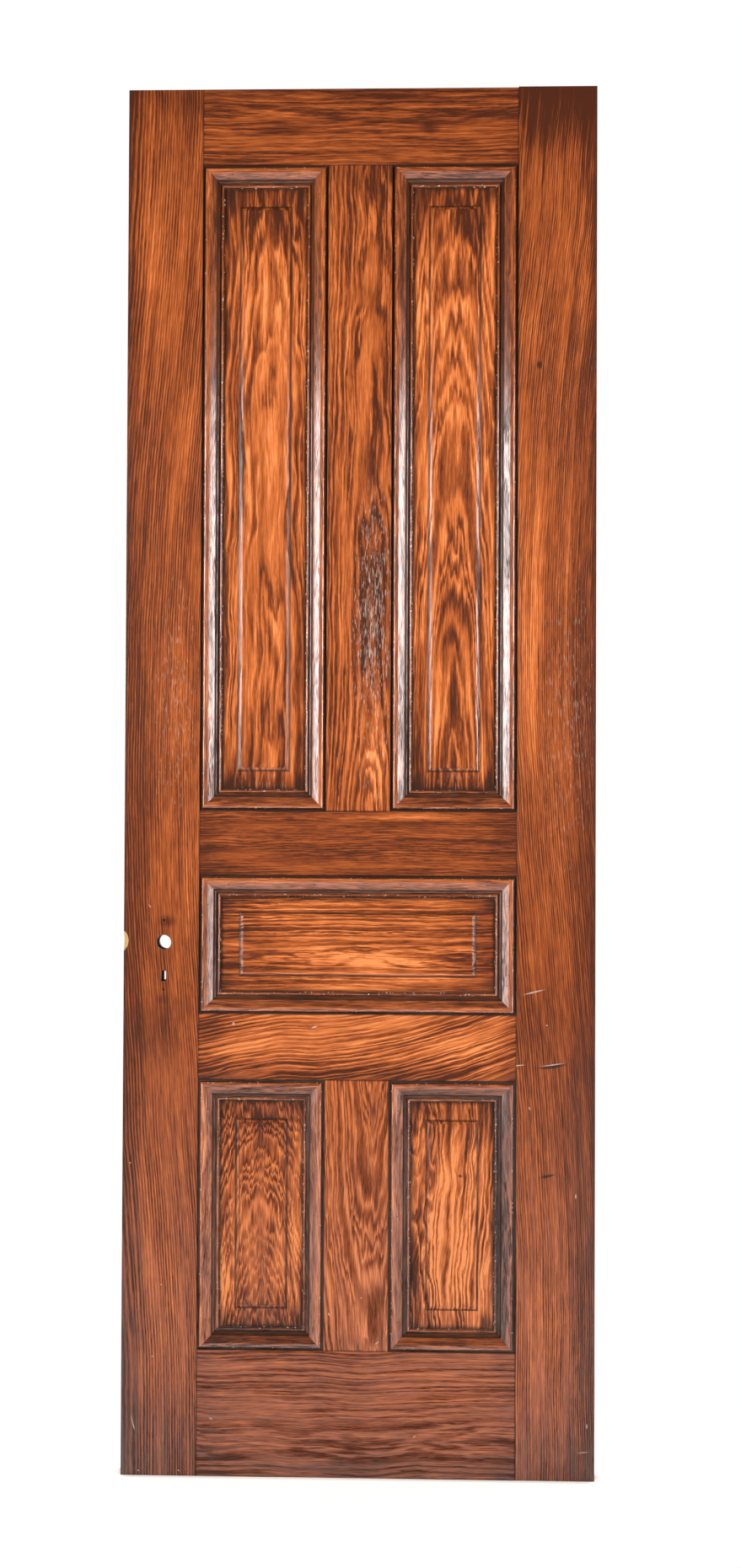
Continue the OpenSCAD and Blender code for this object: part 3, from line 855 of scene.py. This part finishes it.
class DOOR_OT_panels(bpy.types.Operator):
    """Makes the five raised panels from the part's own shapes."""

    bl_idname = "door.panels"
    bl_label = "Raised Panels"

    def execute(self, context):
        sizes, finish = context.scene.door_sizes, context.scene.door_finish
        for name, grain in PANELS.items():
            node = f"panel_{name}"
            left, right, bottom, top = OPENING[name]
            edge = MOULDING_WIDTH
            grain.rect = (left + edge, right - edge, bottom + edge, top - edge)
            grain.level = -SEAT
            mesh = eased_copy(node, on_field, sizes.field_arris, node)
            front = min(v.co.y for v in mesh.vertices)
            field = [v.co / MM for v in mesh.vertices if v.co.y < front + 0.1 * MM]
            foot = (
                min(v.x for v in field) - FIELD_SLOPE,
                max(v.x for v in field) + FIELD_SLOPE,
                min(v.z for v in field) - FIELD_SLOPE,
                max(v.z for v in field) + FIELD_SLOPE,
            )
            soil = panel_soil(grain.rect, foot)
            mesh.materials.append(worn_oak(f"stained_{node}", grain, finish, soil, PANEL_SHINE))
            placed(f"{node}_board", mesh, [node], flat_from=BROAD)
        return {"FINISHED"}


def arc(centre, radius, start, end, steps):
    """Points on an arc, angles in degrees."""
    turns = (math.radians(start + (end - start) * i / steps) for i in range(steps + 1))
    return [(centre[0] + radius * math.cos(t), centre[1] + radius * math.sin(t)) for t in turns]


def back_slope(sizes):
    """The rounded slope behind the moulding's crest."""
    back_at = sizes.quirk_width + sizes.nose + sizes.flat
    cove_at = back_at + sizes.back_width
    low = sizes.crest - sizes.back_fall
    half = math.hypot(sizes.back_width, sizes.back_fall) / 2
    stand = math.sqrt(sizes.back_radius**2 - half**2)
    tilt = math.atan2(-sizes.back_fall, sizes.back_width)
    centre = (
        (back_at + cove_at) / 2 + math.sin(tilt) * stand,
        (sizes.crest + low) / 2 - math.cos(tilt) * stand,
    )
    first = math.degrees(math.atan2(sizes.crest - centre[1], back_at - centre[0]))
    last = math.degrees(math.atan2(low - centre[1], cove_at - centre[0]))
    return arc(centre, sizes.back_radius, first, last, 10)


def moulding_section(sizes, width):
    """Outline of the moulding: distance from the frame, height over the panel, in metres."""
    nose_at = sizes.quirk_width + sizes.nose
    slope = back_slope(sizes)
    cove_at, low = slope[-1]
    cove_centre = (cove_at + sizes.cove, low - sizes.fillet)
    bead_centre = (width - sizes.toe_lip - sizes.bead, sizes.toe + sizes.bead_rise)
    dip = math.degrees(math.asin(sizes.bead_rise / sizes.bead))
    outline = [(0.0, 0.0), (0.0, sizes.quirk_floor), (sizes.quirk_width, sizes.quirk_floor)]
    outline += arc((nose_at, sizes.crest - sizes.nose), sizes.nose, 180.0, 90.0, 8)
    outline += slope
    outline += arc(cove_centre, sizes.cove, 180.0, 270.0, 8)
    outline += [(cove_centre[0], sizes.toe)]
    outline += arc(bead_centre, sizes.bead, 180.0 + dip, -dip, 12)
    outline += [(width, sizes.toe), (width, 0.0)]
    return outline


def outline_mesh(name, outline):
    mesh = bpy.data.meshes.new(name)
    count = len(outline)
    mesh.from_pydata([(u, v, 0.0) for u, v in outline], [(i, (i + 1) % count) for i in range(count)], [])
    return mesh


def inlets(tree, kinds):
    """Named inputs of a tree, and the identifier that sets each on a modifier."""
    sockets = {}
    for name, kind in kinds:
        made = tree.interface.new_socket(name=name, in_out="INPUT", socket_type=f"NodeSocket{kind}")
        sockets[name] = made.identifier
    tree.interface.new_socket(name="Geometry", in_out="OUTPUT", socket_type="NodeSocketGeometry")
    return sockets


def grown(name, base, tree, sockets, values):
    """Runs a tree on a mesh and keeps the result as a plain mesh."""
    holder = bpy.data.objects.new(name, base)
    bpy.context.scene.collection.objects.link(holder)
    modifier = holder.modifiers.new(name, "NODES")
    modifier.node_group = tree
    for key, value in values.items():
        modifier[sockets[key]] = value
    graph = bpy.context.evaluated_depsgraph_get()
    mesh = bpy.data.meshes.new_from_object(
        holder.evaluated_get(graph), preserve_all_data_layers=True, depsgraph=graph
    )
    holder.modifiers.remove(modifier)
    bpy.data.objects.remove(holder)
    shape = bmesh.new()
    shape.from_mesh(mesh)
    bmesh.ops.recalc_face_normals(shape, faces=shape.faces)
    shape.to_mesh(mesh)
    shape.free()
    mesh.name = name
    return mesh


STRIP_STAGGER, OPENING_STAGGER, FACE_STAGGER = 2.37, 9.7, 57.0  # keep the strips' grain apart, in metres
OPENING_INLETS = [
    ("Opening Width", "Float"),
    ("Opening Height", "Float"),
    ("Seat", "Float"),
    ("Centre", "Vector"),
    ("Turn", "Float"),
    ("Material", "Material"),
]


def given(bench, sockets):
    """The tree's inputs by name."""
    source = bench.node("NodeGroupInput").socket.node
    return {name: Value(bench, source.outputs[name]) for name in sockets}


def run_of(side, inlet):
    return inlet["Opening Width" if side in ("bottom", "top") else "Opening Height"]


def seated(bench, strip, place, inlet):
    """Turns what is made for one strip to its side of the opening."""
    side = SIDES[place]
    lie = Matrix(((0, 0, 1), (0, -1, 0), (1, 0, 0)))
    turned = (Matrix.Rotation(-math.pi / 2 * place, 3, "Y") @ lie).to_euler()
    corner = bench.join(
        inlet["Opening Width"] * (-0.5 if side in ("bottom", "left") else 0.5),
        inlet["Seat"] * -1.0,
        inlet["Opening Height"] * (-0.5 if side in ("bottom", "right") else 0.5),
    )
    return bench.node(
        "GeometryNodeTransform", None, {"Geometry": strip, "Translation": corner, "Rotation": turned}
    )


def stood(bench, strips, inlet):
    """Joins the four sides, stands them at their opening and ends the tree."""
    joined = bench.tree.nodes.new("GeometryNodeJoinGeometry")
    for strip in strips:
        bench.tree.links.new(strip.socket, joined.inputs[0])
    turned = bench.node(
        "GeometryNodeTransform",
        None,
        {
            "Geometry": Value(bench, joined.outputs[0]),
            "Translation": inlet["Centre"],
            "Rotation": bench.join(0.0, 0.0, inlet["Turn"]),
        },
    )
    real = bench.node("GeometryNodeRealizeInstances", None, {"Geometry": turned})
    finished = bench.node("GeometryNodeSetMaterial", None, {"Geometry": real, "Material": inlet["Material"]})
    bench.node("NodeGroupOutput", None, {0: finished})


def moulding_tree():
    """Sweeps a section round an opening as four strips, mitred at the corners."""
    tree = bpy.data.node_groups.new("mitred_mouldings", "GeometryNodeTree")
    tones = [(f"Tone {side.title()}", "Float") for side in SIDES]
    sockets = inlets(tree, [("Section", "Geometry"), *OPENING_INLETS, ("Stagger", "Float"), *tones])
    bench = Bench(tree)
    inlet = given(bench, sockets)
    section = bench.node("GeometryNodeMeshToCurve", None, {0: inlet["Section"]})
    strips = []
    for i, side in enumerate(SIDES):
        run = run_of(side, inlet)
        line = bench.node("GeometryNodeCurvePrimitiveLine", None, {"End": bench.join(0.0, 0.0, run)})
        strip = bench.node(
            "GeometryNodeCurveToMesh", None, {"Curve": line, "Profile Curve": section, "Fill Caps": True}
        )
        across, rise, along = bench.split(bench.node("GeometryNodeInputPosition"))
        mitred = along + across * (1.0 - along * 2.0 / run)
        strip = bench.node(
            "GeometryNodeSetPosition", None, {"Geometry": strip, "Position": bench.join(across, rise, mitred)}
        )
        staggered = bench.join(across, rise, along + inlet["Stagger"] + STRIP_STAGGER * i)
        to_end = bench.join(along.least(run - along), inlet[f"Tone {side.title()}"], 0.0)
        for name, value in (("grain", staggered), ("place", to_end)):
            strip = bench.node(
                "GeometryNodeStoreNamedAttribute",
                {"data_type": "FLOAT_VECTOR", "domain": "POINT"},
                {"Geometry": strip, "Name": name, "Value": value},
            )
        strips.append(seated(bench, strip, i, inlet))
    stood(bench, strips, inlet)
    return tree, sockets


def brad_tree():
    """Spaces brads along the four strips round an opening."""
    tree = bpy.data.node_groups.new("moulding_brads", "GeometryNodeTree")
    own = [("Place", "Vector"), ("Spacing", "Float"), ("End", "Float")]
    sockets = inlets(tree, [("Head", "Geometry"), *OPENING_INLETS, *own])
    bench = Bench(tree)
    inlet = given(bench, sockets)
    rows = []
    for i, side in enumerate(SIDES):
        run, end = run_of(side, inlet), inlet["End"]
        first, last = (
            bench.vector("ADD", inlet["Place"], bench.join(0.0, 0.0, along)) for along in (end, run - end)
        )
        count = (run - end * 2.0) / inlet["Spacing"] + 1.5
        line = bench.node(
            "GeometryNodeMeshLine",
            {"mode": "END_POINTS"},
            {"Count": count, "Start Location": first, "Offset": last},
        )
        row = bench.node("GeometryNodeInstanceOnPoints", None, {"Points": line, "Instance": inlet["Head"]})
        rows.append(seated(bench, row, i, inlet))
    stood(bench, rows, inlet)
    return tree, sockets


BRAD_AT = 3  # step of the slope's arc where the brads sit
BRAD_SIDES = 12
MOULDING_SOFT, BRAD_SOFT = 28.0, 40.0  # edges sharper than this, in degrees, stay crisp
BRAD_LEVELS = (-0.4 * MM, 0.03 * MM, 0.12 * MM)  # foot, rim and crown of the putty, over the slope


def brad_head(sizes):
    """Place of a brad on the moulding's slope, and the low button of putty over it."""
    slope = [Vector((*point, 0.0)) for point in back_slope(sizes)]
    level = (slope[BRAD_AT + 1] - slope[BRAD_AT - 1]).normalized()
    out, along = Vector((-level.y, level.x, 0.0)), Vector((0.0, 0.0, 1.0))
    foot, rim, crown = BRAD_LEVELS
    turns = [2.0 * math.pi * i / BRAD_SIDES for i in range(BRAD_SIDES)]
    ring = [(level * math.cos(t) + along * math.sin(t)) * sizes.brad for t in turns]
    verts = [out * foot + spot for spot in ring] + [out * rim + spot for spot in ring] + [out * crown]
    faces = [tuple(reversed(range(BRAD_SIDES)))]
    for i in range(BRAD_SIDES):
        beside = (i + 1) % BRAD_SIDES
        faces.append((i, beside, BRAD_SIDES + beside, BRAD_SIDES + i))
        faces.append((BRAD_SIDES + i, BRAD_SIDES + beside, 2 * BRAD_SIDES))
    mesh = bpy.data.meshes.new("brad_head")
    mesh.from_pydata(verts, [], faces)
    return slope[BRAD_AT], mesh


# tone of each strip: bottom, right, top, left
STRIP_TONES = {
    "upper_left": (0.44, 0.54, 0.44, 0.46),
    "upper_right": (0.44, 0.4, 0.4, 0.46),
    "middle": (0.5, 0.48, 0.54, 0.4),
    "lower_left": (0.2, 0.54, 0.46, 0.66),
    "lower_right": (0.46, 0.22, 0.42, 0.48),
}


MOULDING_GRAIN = Grain(
    heart=(-30.0, 26.0), ring=4.4, wander=10.0, sweep=260.0, tone=0.0, band=0.36, fibre=0.5, seed=53.0
)
# where things lie across a moulding, in millimetres from the frame
CREST = ((4.2, 7.0), (10.0, 14.0))
QUIRK_END = (3.9, 5.6)
HOLLOW = ((20.6, 23.4), (27.6, 31.0))
TOE_START = (32.6, 34.2)
OUTER_EDGE, BEAD_START = ((3.4, 4.4), (5.2, 6.6)), (30.0, 31.5)
# how dark the dirt and painted shade make the quirk, hollow and toe, and how dark the mitres get
QUIRK_DIRT_AND_SHADE, HOLLOW_DIRT_AND_SHADE, TOE_DIRT_AND_SHADE, MITRE_DARKENING = 0.92, 0.78, 0.76, 0.62


def within(across, span):
    """1 between a span's two edges, 0 outside them."""
    return across.rise(*span[0]) * across.fall(*span[1])


def moulding_oak(finish):
    """Stained oak on the mouldings: dirt and painted shade in the quirk, hollow and toe, darker mitres,
    whitish specks that are partly painted glints, a worn crest.
    """
    made, bench = new_finish("stained_mouldings")
    point = millimetres(bench, "grain")
    share, open_grain, pores, streaks = oak(bench, point, MOULDING_GRAIN)
    across = bench.split(point)[0]
    place = bench.node("ShaderNodeAttribute", {"attribute_name": "place"}, None, out=1)
    to_end, tone, _ = bench.split(place)
    share = share + tone + within(across, CREST) * 0.12
    base = bench.shade(share, stain_shades(finish))
    ragged = across + streaks * 2.0
    # Dirt and painted shade darken the quirk, the hollow and the toe; the mitres' corners are darker too.
    quirk = across.fall(*QUIRK_END)
    hollow = within(across, HOLLOW)
    toe = across.rise(*TOE_START)
    corner = (to_end * (1 / MM) + streaks * 14.0).fall(2.0, 34.0) * ragged.rise(9.0, 20.0)
    dirt = (quirk * QUIRK_DIRT_AND_SHADE).most(hollow * HOLLOW_DIRT_AND_SHADE).most(toe * TOE_DIRT_AND_SHADE).most(corner * MITRE_DARKENING)
    base = bench.mix(dirt, base, rgba(finish.dirt))
    # Whitish specks along the nose and the bead: paint remnants, and in part painted glints on these raised
    # edges.
    speck_and_glint = bench.noise(point, (0.4, 0.4, 0.25), 3.3, 0.0, 0.5).rise(0.73, 0.78)
    edges = within(across, OUTER_EDGE) + across.rise(*BEAD_START)
    base = bench.mix(speck_and_glint * edges.least(1.0) * 0.8, base, rgba(finish.scratch_and_glint))
    crackle = bench.noise(point, CRACKLE, 8.2, 2.0, 0.6).rise(*CRACKLE_CUT)
    base = bench.mix(crackle * 0.35, base, rgba(finish.dirt))
    cover = (1.0 - (open_grain * 0.4 + pores * 0.7).least(1.0)) * (1.0 - dirt.most(crackle) * 0.75)
    height = 0.0 - pores - crackle - open_grain * 0.3 + streaks * 0.3
    varnish(bench, base, cover, height, GRAIN_RELIEF, MOULDING_SHINE, THICK_COAT)
    return made


def opening_values(name, turn, material):
    """What a tree needs to know of one opening, on the front or turned to the back."""
    left, right, bottom, top = (value * MM for value in OPENING[name])
    return {
        "Opening Width": right - left,
        "Opening Height": top - bottom,
        "Seat": SEAT * MM,
        "Centre": ((left + right) / 2, 0.0, (bottom + top) / 2),
        "Turn": math.pi * turn,
        "Material": material,
    }


class DOOR_OT_mouldings(bpy.types.Operator):
    """Runs the mitred mouldings round every panel, front and back."""

    bl_idname = "door.mouldings"
    bl_label = "Mitred Mouldings"

    def execute(self, context):
        sizes = context.scene.door_sizes
        finish = moulding_oak(context.scene.door_finish)
        tree, sockets = moulding_tree()
        outline = moulding_section(sizes, MOULDING_WIDTH * MM)
        for turn, face in enumerate(FACES):
            for row, name in enumerate(OPENINGS):
                values = opening_values(name, turn, finish)
                values["Stagger"] = OPENING_STAGGER * row + FACE_STAGGER * turn
                for side, tone in zip(SIDES, STRIP_TONES[name]):
                    values[f"Tone {side.title()}"] = tone
                title = f"mouldings_{face}_{name}"
                mesh = grown(title, outline_mesh(title, outline), tree, sockets, values)
                nodes = [f"moulding_{face}_{name}_{side}" for side in SIDES]
                placed(title, mesh, nodes, MOULDING_SOFT)
        return {"FINISHED"}


def brad_putty(finish):
    """Dark putty over the sunk brads."""
    made, bench = new_finish("brad_putty")
    speckle = bench.noise(millimetres(bench), (0.9, 0.9, 0.9), 6.1, 2.0, 0.5)
    base = bench.mix(speckle.rise(0.35, 0.7), rgba(finish.dirt), rgba(finish.stain_black))
    varnish(bench, base, 0.3, speckle, PUTTY_RELIEF, BOARD_SHINE)
    return made


class DOOR_OT_brads(bpy.types.Operator):
    """Sets the puttied brads that hold the mouldings."""

    bl_idname = "door.brads"
    bl_label = "Moulding Brads"

    def execute(self, context):
        sizes = context.scene.door_sizes
        putty = brad_putty(context.scene.door_finish)
        tree, sockets = brad_tree()
        place, head = brad_head(sizes)
        for turn, face in enumerate(FACES):
            for name in OPENINGS:
                values = opening_values(name, turn, putty)
                values |= {"Place": place, "Spacing": sizes.brad_spacing, "End": sizes.brad_end}
                title = f"brads_{face}_{name}"
                mesh = grown(title, head.copy(), tree, sockets, values)
                placed(title, mesh, [], BRAD_SOFT)
        return {"FINISHED"}


class DOOR_OT_wedges(bpy.types.Operator):
    """Gives the tenons' wedges their end-grain finish."""

    bl_idname = "door.wedges"
    bl_label = "Tenon Wedges"

    def execute(self, context):
        grain = Grain(upright=False, heart=(0.0, 30.0), ring=3.0, wander=6.0, tone=0.4, seed=61.0)
        finish = worn_oak("stained_wedges", grain, context.scene.door_finish)
        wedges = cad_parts["tenon_wedges"]
        wedges.data.materials.clear()
        wedges.data.materials.append(finish)
        return {"FINISHED"}


CAMERA_TURN = (-1.043, 1.852, 0.213)  # degrees about the fit's own axes
CAMERA_SHIFT = (-22.64, 1115.99, 3250.2)  # millimetres from the camera to the door's foot
LAMP_PLACE = (1.62, 1.64, 1.675)
SHEEN_PLACE = (1.62, 1.64, 0.74)
BEHIND = (0.1, 0.4)  # how far a ray leans back where reflections turn white
CEILING = (0.75, 0.95)  # how far a ray leans up where the ceiling glows
GLOSSY_DIM = 0.6  # share of the room's light that reflections lose
WHITE, WARM, WARM_FLOOR = (1.0, 1.0, 1.0, 1.0), (1.0, 0.98, 0.95, 1.0), (1.0, 0.97, 0.92, 1.0)
FLOOR_HALF = 7.0
FOOT_HALF = 0.36  # half the line on the floor that the foot's shadow follows
# Near the foot the floor glows less, so that the door's shadow shows; right at the foot its glow is dimmed
# further, a painted contact shadow.
SHADOW_REACH, PAINTED_SHADOW_REACH = (0.05, 0.5), (0.02, 0.04)
SHADOW_GLOW, PAINTED_SHADOW_DARK = 0.55, 0.4


def add_camera(scene, lens):
    """Sets the camera where the photograph was taken from."""
    about_x, about_y, about_z = (
        Matrix.Rotation(math.radians(angle), 3, axis) for angle, axis in zip(CAMERA_TURN, "XYZ")
    )
    # the fit's axes run right, down and away from the camera
    to_fit = Matrix(((1, 0, 0), (0, 0, -1), (0, 1, 0)))
    view = about_z @ about_y @ about_x @ to_fit
    flip = Matrix(((1, 0, 0), (0, -1, 0), (0, 0, -1)))
    turned = view.transposed() @ flip
    place = -(view.transposed() @ Vector(CAMERA_SHIFT)) * MM
    place.y += FACE_Y * MM
    camera = bpy.data.cameras.new("camera")
    camera.lens, camera.sensor_width, camera.clip_start = lens, 36.0, 0.05
    holder = bpy.data.objects.new("camera", camera)
    scene.collection.objects.link(holder)
    holder.matrix_world = Matrix.Translation(place) @ turned.to_4x4()
    scene.camera = holder


def add_lamp(scene, name, place, power, width, height):
    """A softbox that faces the door."""
    lamp = bpy.data.lights.new(name, "AREA")
    lamp.energy, lamp.shape, lamp.size, lamp.size_y = power, "RECTANGLE", width, height
    holder = bpy.data.objects.new(name, lamp)
    scene.collection.objects.link(holder)
    aim = Vector((-place[0], -place[1], 0.0))
    holder.matrix_world = Matrix.Translation(place) @ aim.to_track_quat("-Z", "Y").to_matrix().to_4x4()
    holder.visible_camera = False
    return holder


def seen_rays(bench):
    """Light Path's outputs for the rays that look at the background."""
    path = bench.node("ShaderNodeLightPath").socket.node
    names = ("Is Camera Ray", "Is Glossy Ray", "Is Transmission Ray")
    return [Value(bench, path.outputs[name]) for name in names]


def add_room(scene, level, ceiling):
    """White behind the door, a dim room behind the camera and a soft glow from its ceiling."""
    world = bpy.data.worlds.new("studio")
    world.use_nodes = True
    scene.world = world
    bench = Bench(world.node_tree)
    camera, glossy, through = seen_rays(bench)
    direction = bench.split(bench.node("ShaderNodeTexCoord", None, None, out=0))
    behind = direction[1].rise(*BEHIND)
    white = camera.most(through).most(glossy * behind)
    glow = (1.0 - glossy) * direction[2].rise(*CEILING) * ceiling
    shown = (1.0 - glossy * GLOSSY_DIM) * level + glow
    dim = bench.node("ShaderNodeBackground", None, {"Color": WARM, "Strength": shown})
    plain = bench.node("ShaderNodeBackground", None, {"Color": WHITE, "Strength": 1.0})
    seen = bench.node("ShaderNodeMixShader", None, {0: white, 1: dim, 2: plain})
    bench.node("ShaderNodeOutputWorld", None, {"Surface": seen})


def add_floor(scene, tint):
    """A pale floor that shows white and keeps the soft shadow at the door's foot, with a painted contact
    shadow along it.
    """
    mesh = bpy.data.meshes.new("floor")
    around = ((-1, -1), (1, -1), (1, 1), (-1, 1))
    mesh.from_pydata([(x * FLOOR_HALF, y * FLOOR_HALF, 0.0) for x, y in around], [], [(0, 1, 2, 3)])
    made, bench = new_finish("pale_floor")
    camera, glossy, through = seen_rays(bench)
    point = bench.node("ShaderNodeTexCoord", None, None, out=3)
    x, y, _ = bench.split(point)
    away = bench.vector("LENGTH", bench.join((x.size() - FOOT_HALF).most(0.0), y, 0.0), out=1)
    near = away.fall(*SHADOW_REACH)
    # Painted contact shadow: the glow is dimmed right along the foot.
    glow_with_painted_shadow = SHADOW_GLOW - away.fall(*PAINTED_SHADOW_REACH) * PAINTED_SHADOW_DARK
    paint = bench.node("ShaderNodeBsdfDiffuse", None, {"Color": rgba(tint)})
    white = bench.node("ShaderNodeEmission", None, {"Color": WHITE, "Strength": 1.0})
    half_white = bench.node("ShaderNodeEmission", None, {"Color": WARM_FLOOR, "Strength": glow_with_painted_shadow})
    foot = bench.node("ShaderNodeAddShader", None, {0: paint, 1: half_white})
    shown = bench.node("ShaderNodeMixShader", None, {0: near, 1: white, 2: foot})
    looked_at = camera.most(glossy).most(through)
    surface = bench.node("ShaderNodeMixShader", None, {0: looked_at, 1: paint, 2: shown})
    bench.node("ShaderNodeOutputMaterial", None, {"Surface": surface})
    mesh.materials.append(made)
    floor = bpy.data.objects.new("floor", mesh)
    scene.collection.objects.link(floor)


class DOOR_OT_stage(bpy.types.Operator):
    """Sets the camera, the softboxes and low lamps, the room and the floor."""

    bl_idname = "door.stage"
    bl_label = "Studio"

    def execute(self, context):
        scene = context.scene
        stage = scene.door_stage
        scene.view_settings.view_transform = "Standard"
        add_camera(scene, stage.lens)
        for hand, way in ((-1, -1), (1, -1), (-1, 1), (1, 1)):
            x, y, z = LAMP_PLACE
            softbox = (stage.softbox, stage.softbox_width, stage.softbox_height)
            add_lamp(scene, "softbox", (hand * x, way * y, z), *softbox)
            x, y, z = SHEEN_PLACE
            sheen = (stage.sheen, stage.sheen_width, stage.sheen_height)
            add_lamp(scene, "sheen", (hand * x, way * y, z), *sheen).visible_diffuse = False
        add_room(scene, stage.room, stage.ceiling)
        add_floor(scene, stage.floor)
        return {"FINISHED"}


STEPS = (DOOR_OT_boards, DOOR_OT_panels, DOOR_OT_mouldings, DOOR_OT_brads, DOOR_OT_wedges, DOOR_OT_stage)
GROUPS = {"door_sizes": DoorSizes, "door_finish": DoorFinish, "door_stage": DoorStage}


class DOOR_PT_parts(bpy.types.Panel):
    """Shows the door's sizes, finish, studio and steps in the sidebar."""

    bl_idname = "DOOR_PT_parts"
    bl_label = "Oak Panel Door"
    bl_space_type = "VIEW_3D"
    bl_region_type = "UI"
    bl_category = "Door"

    def draw(self, context):
        for group in GROUPS:
            box = self.layout.box()
            held = getattr(context.scene, group)
            for name in GROUPS[group].__annotations__:
                box.prop(held, name)
        for step in STEPS:
            self.layout.operator(step.bl_idname)


def register():
    for made in (*GROUPS.values(), *STEPS, DOOR_PT_parts):
        bpy.utils.register_class(made)
    for name, group in GROUPS.items():
        setattr(bpy.types.Scene, name, PointerProperty(type=group))


def unregister():
    for name in GROUPS:
        delattr(bpy.types.Scene, name)
    for made in reversed((*GROUPS.values(), *STEPS, DOOR_PT_parts)):
        bpy.utils.unregister_class(made)


def main():
    register()
    bpy.ops.door.boards()
    bpy.ops.door.panels()
    bpy.ops.door.mouldings()
    bpy.ops.door.brads()
    bpy.ops.door.wedges()
    bpy.ops.door.stage()


if __name__ == "__main__":
    main()
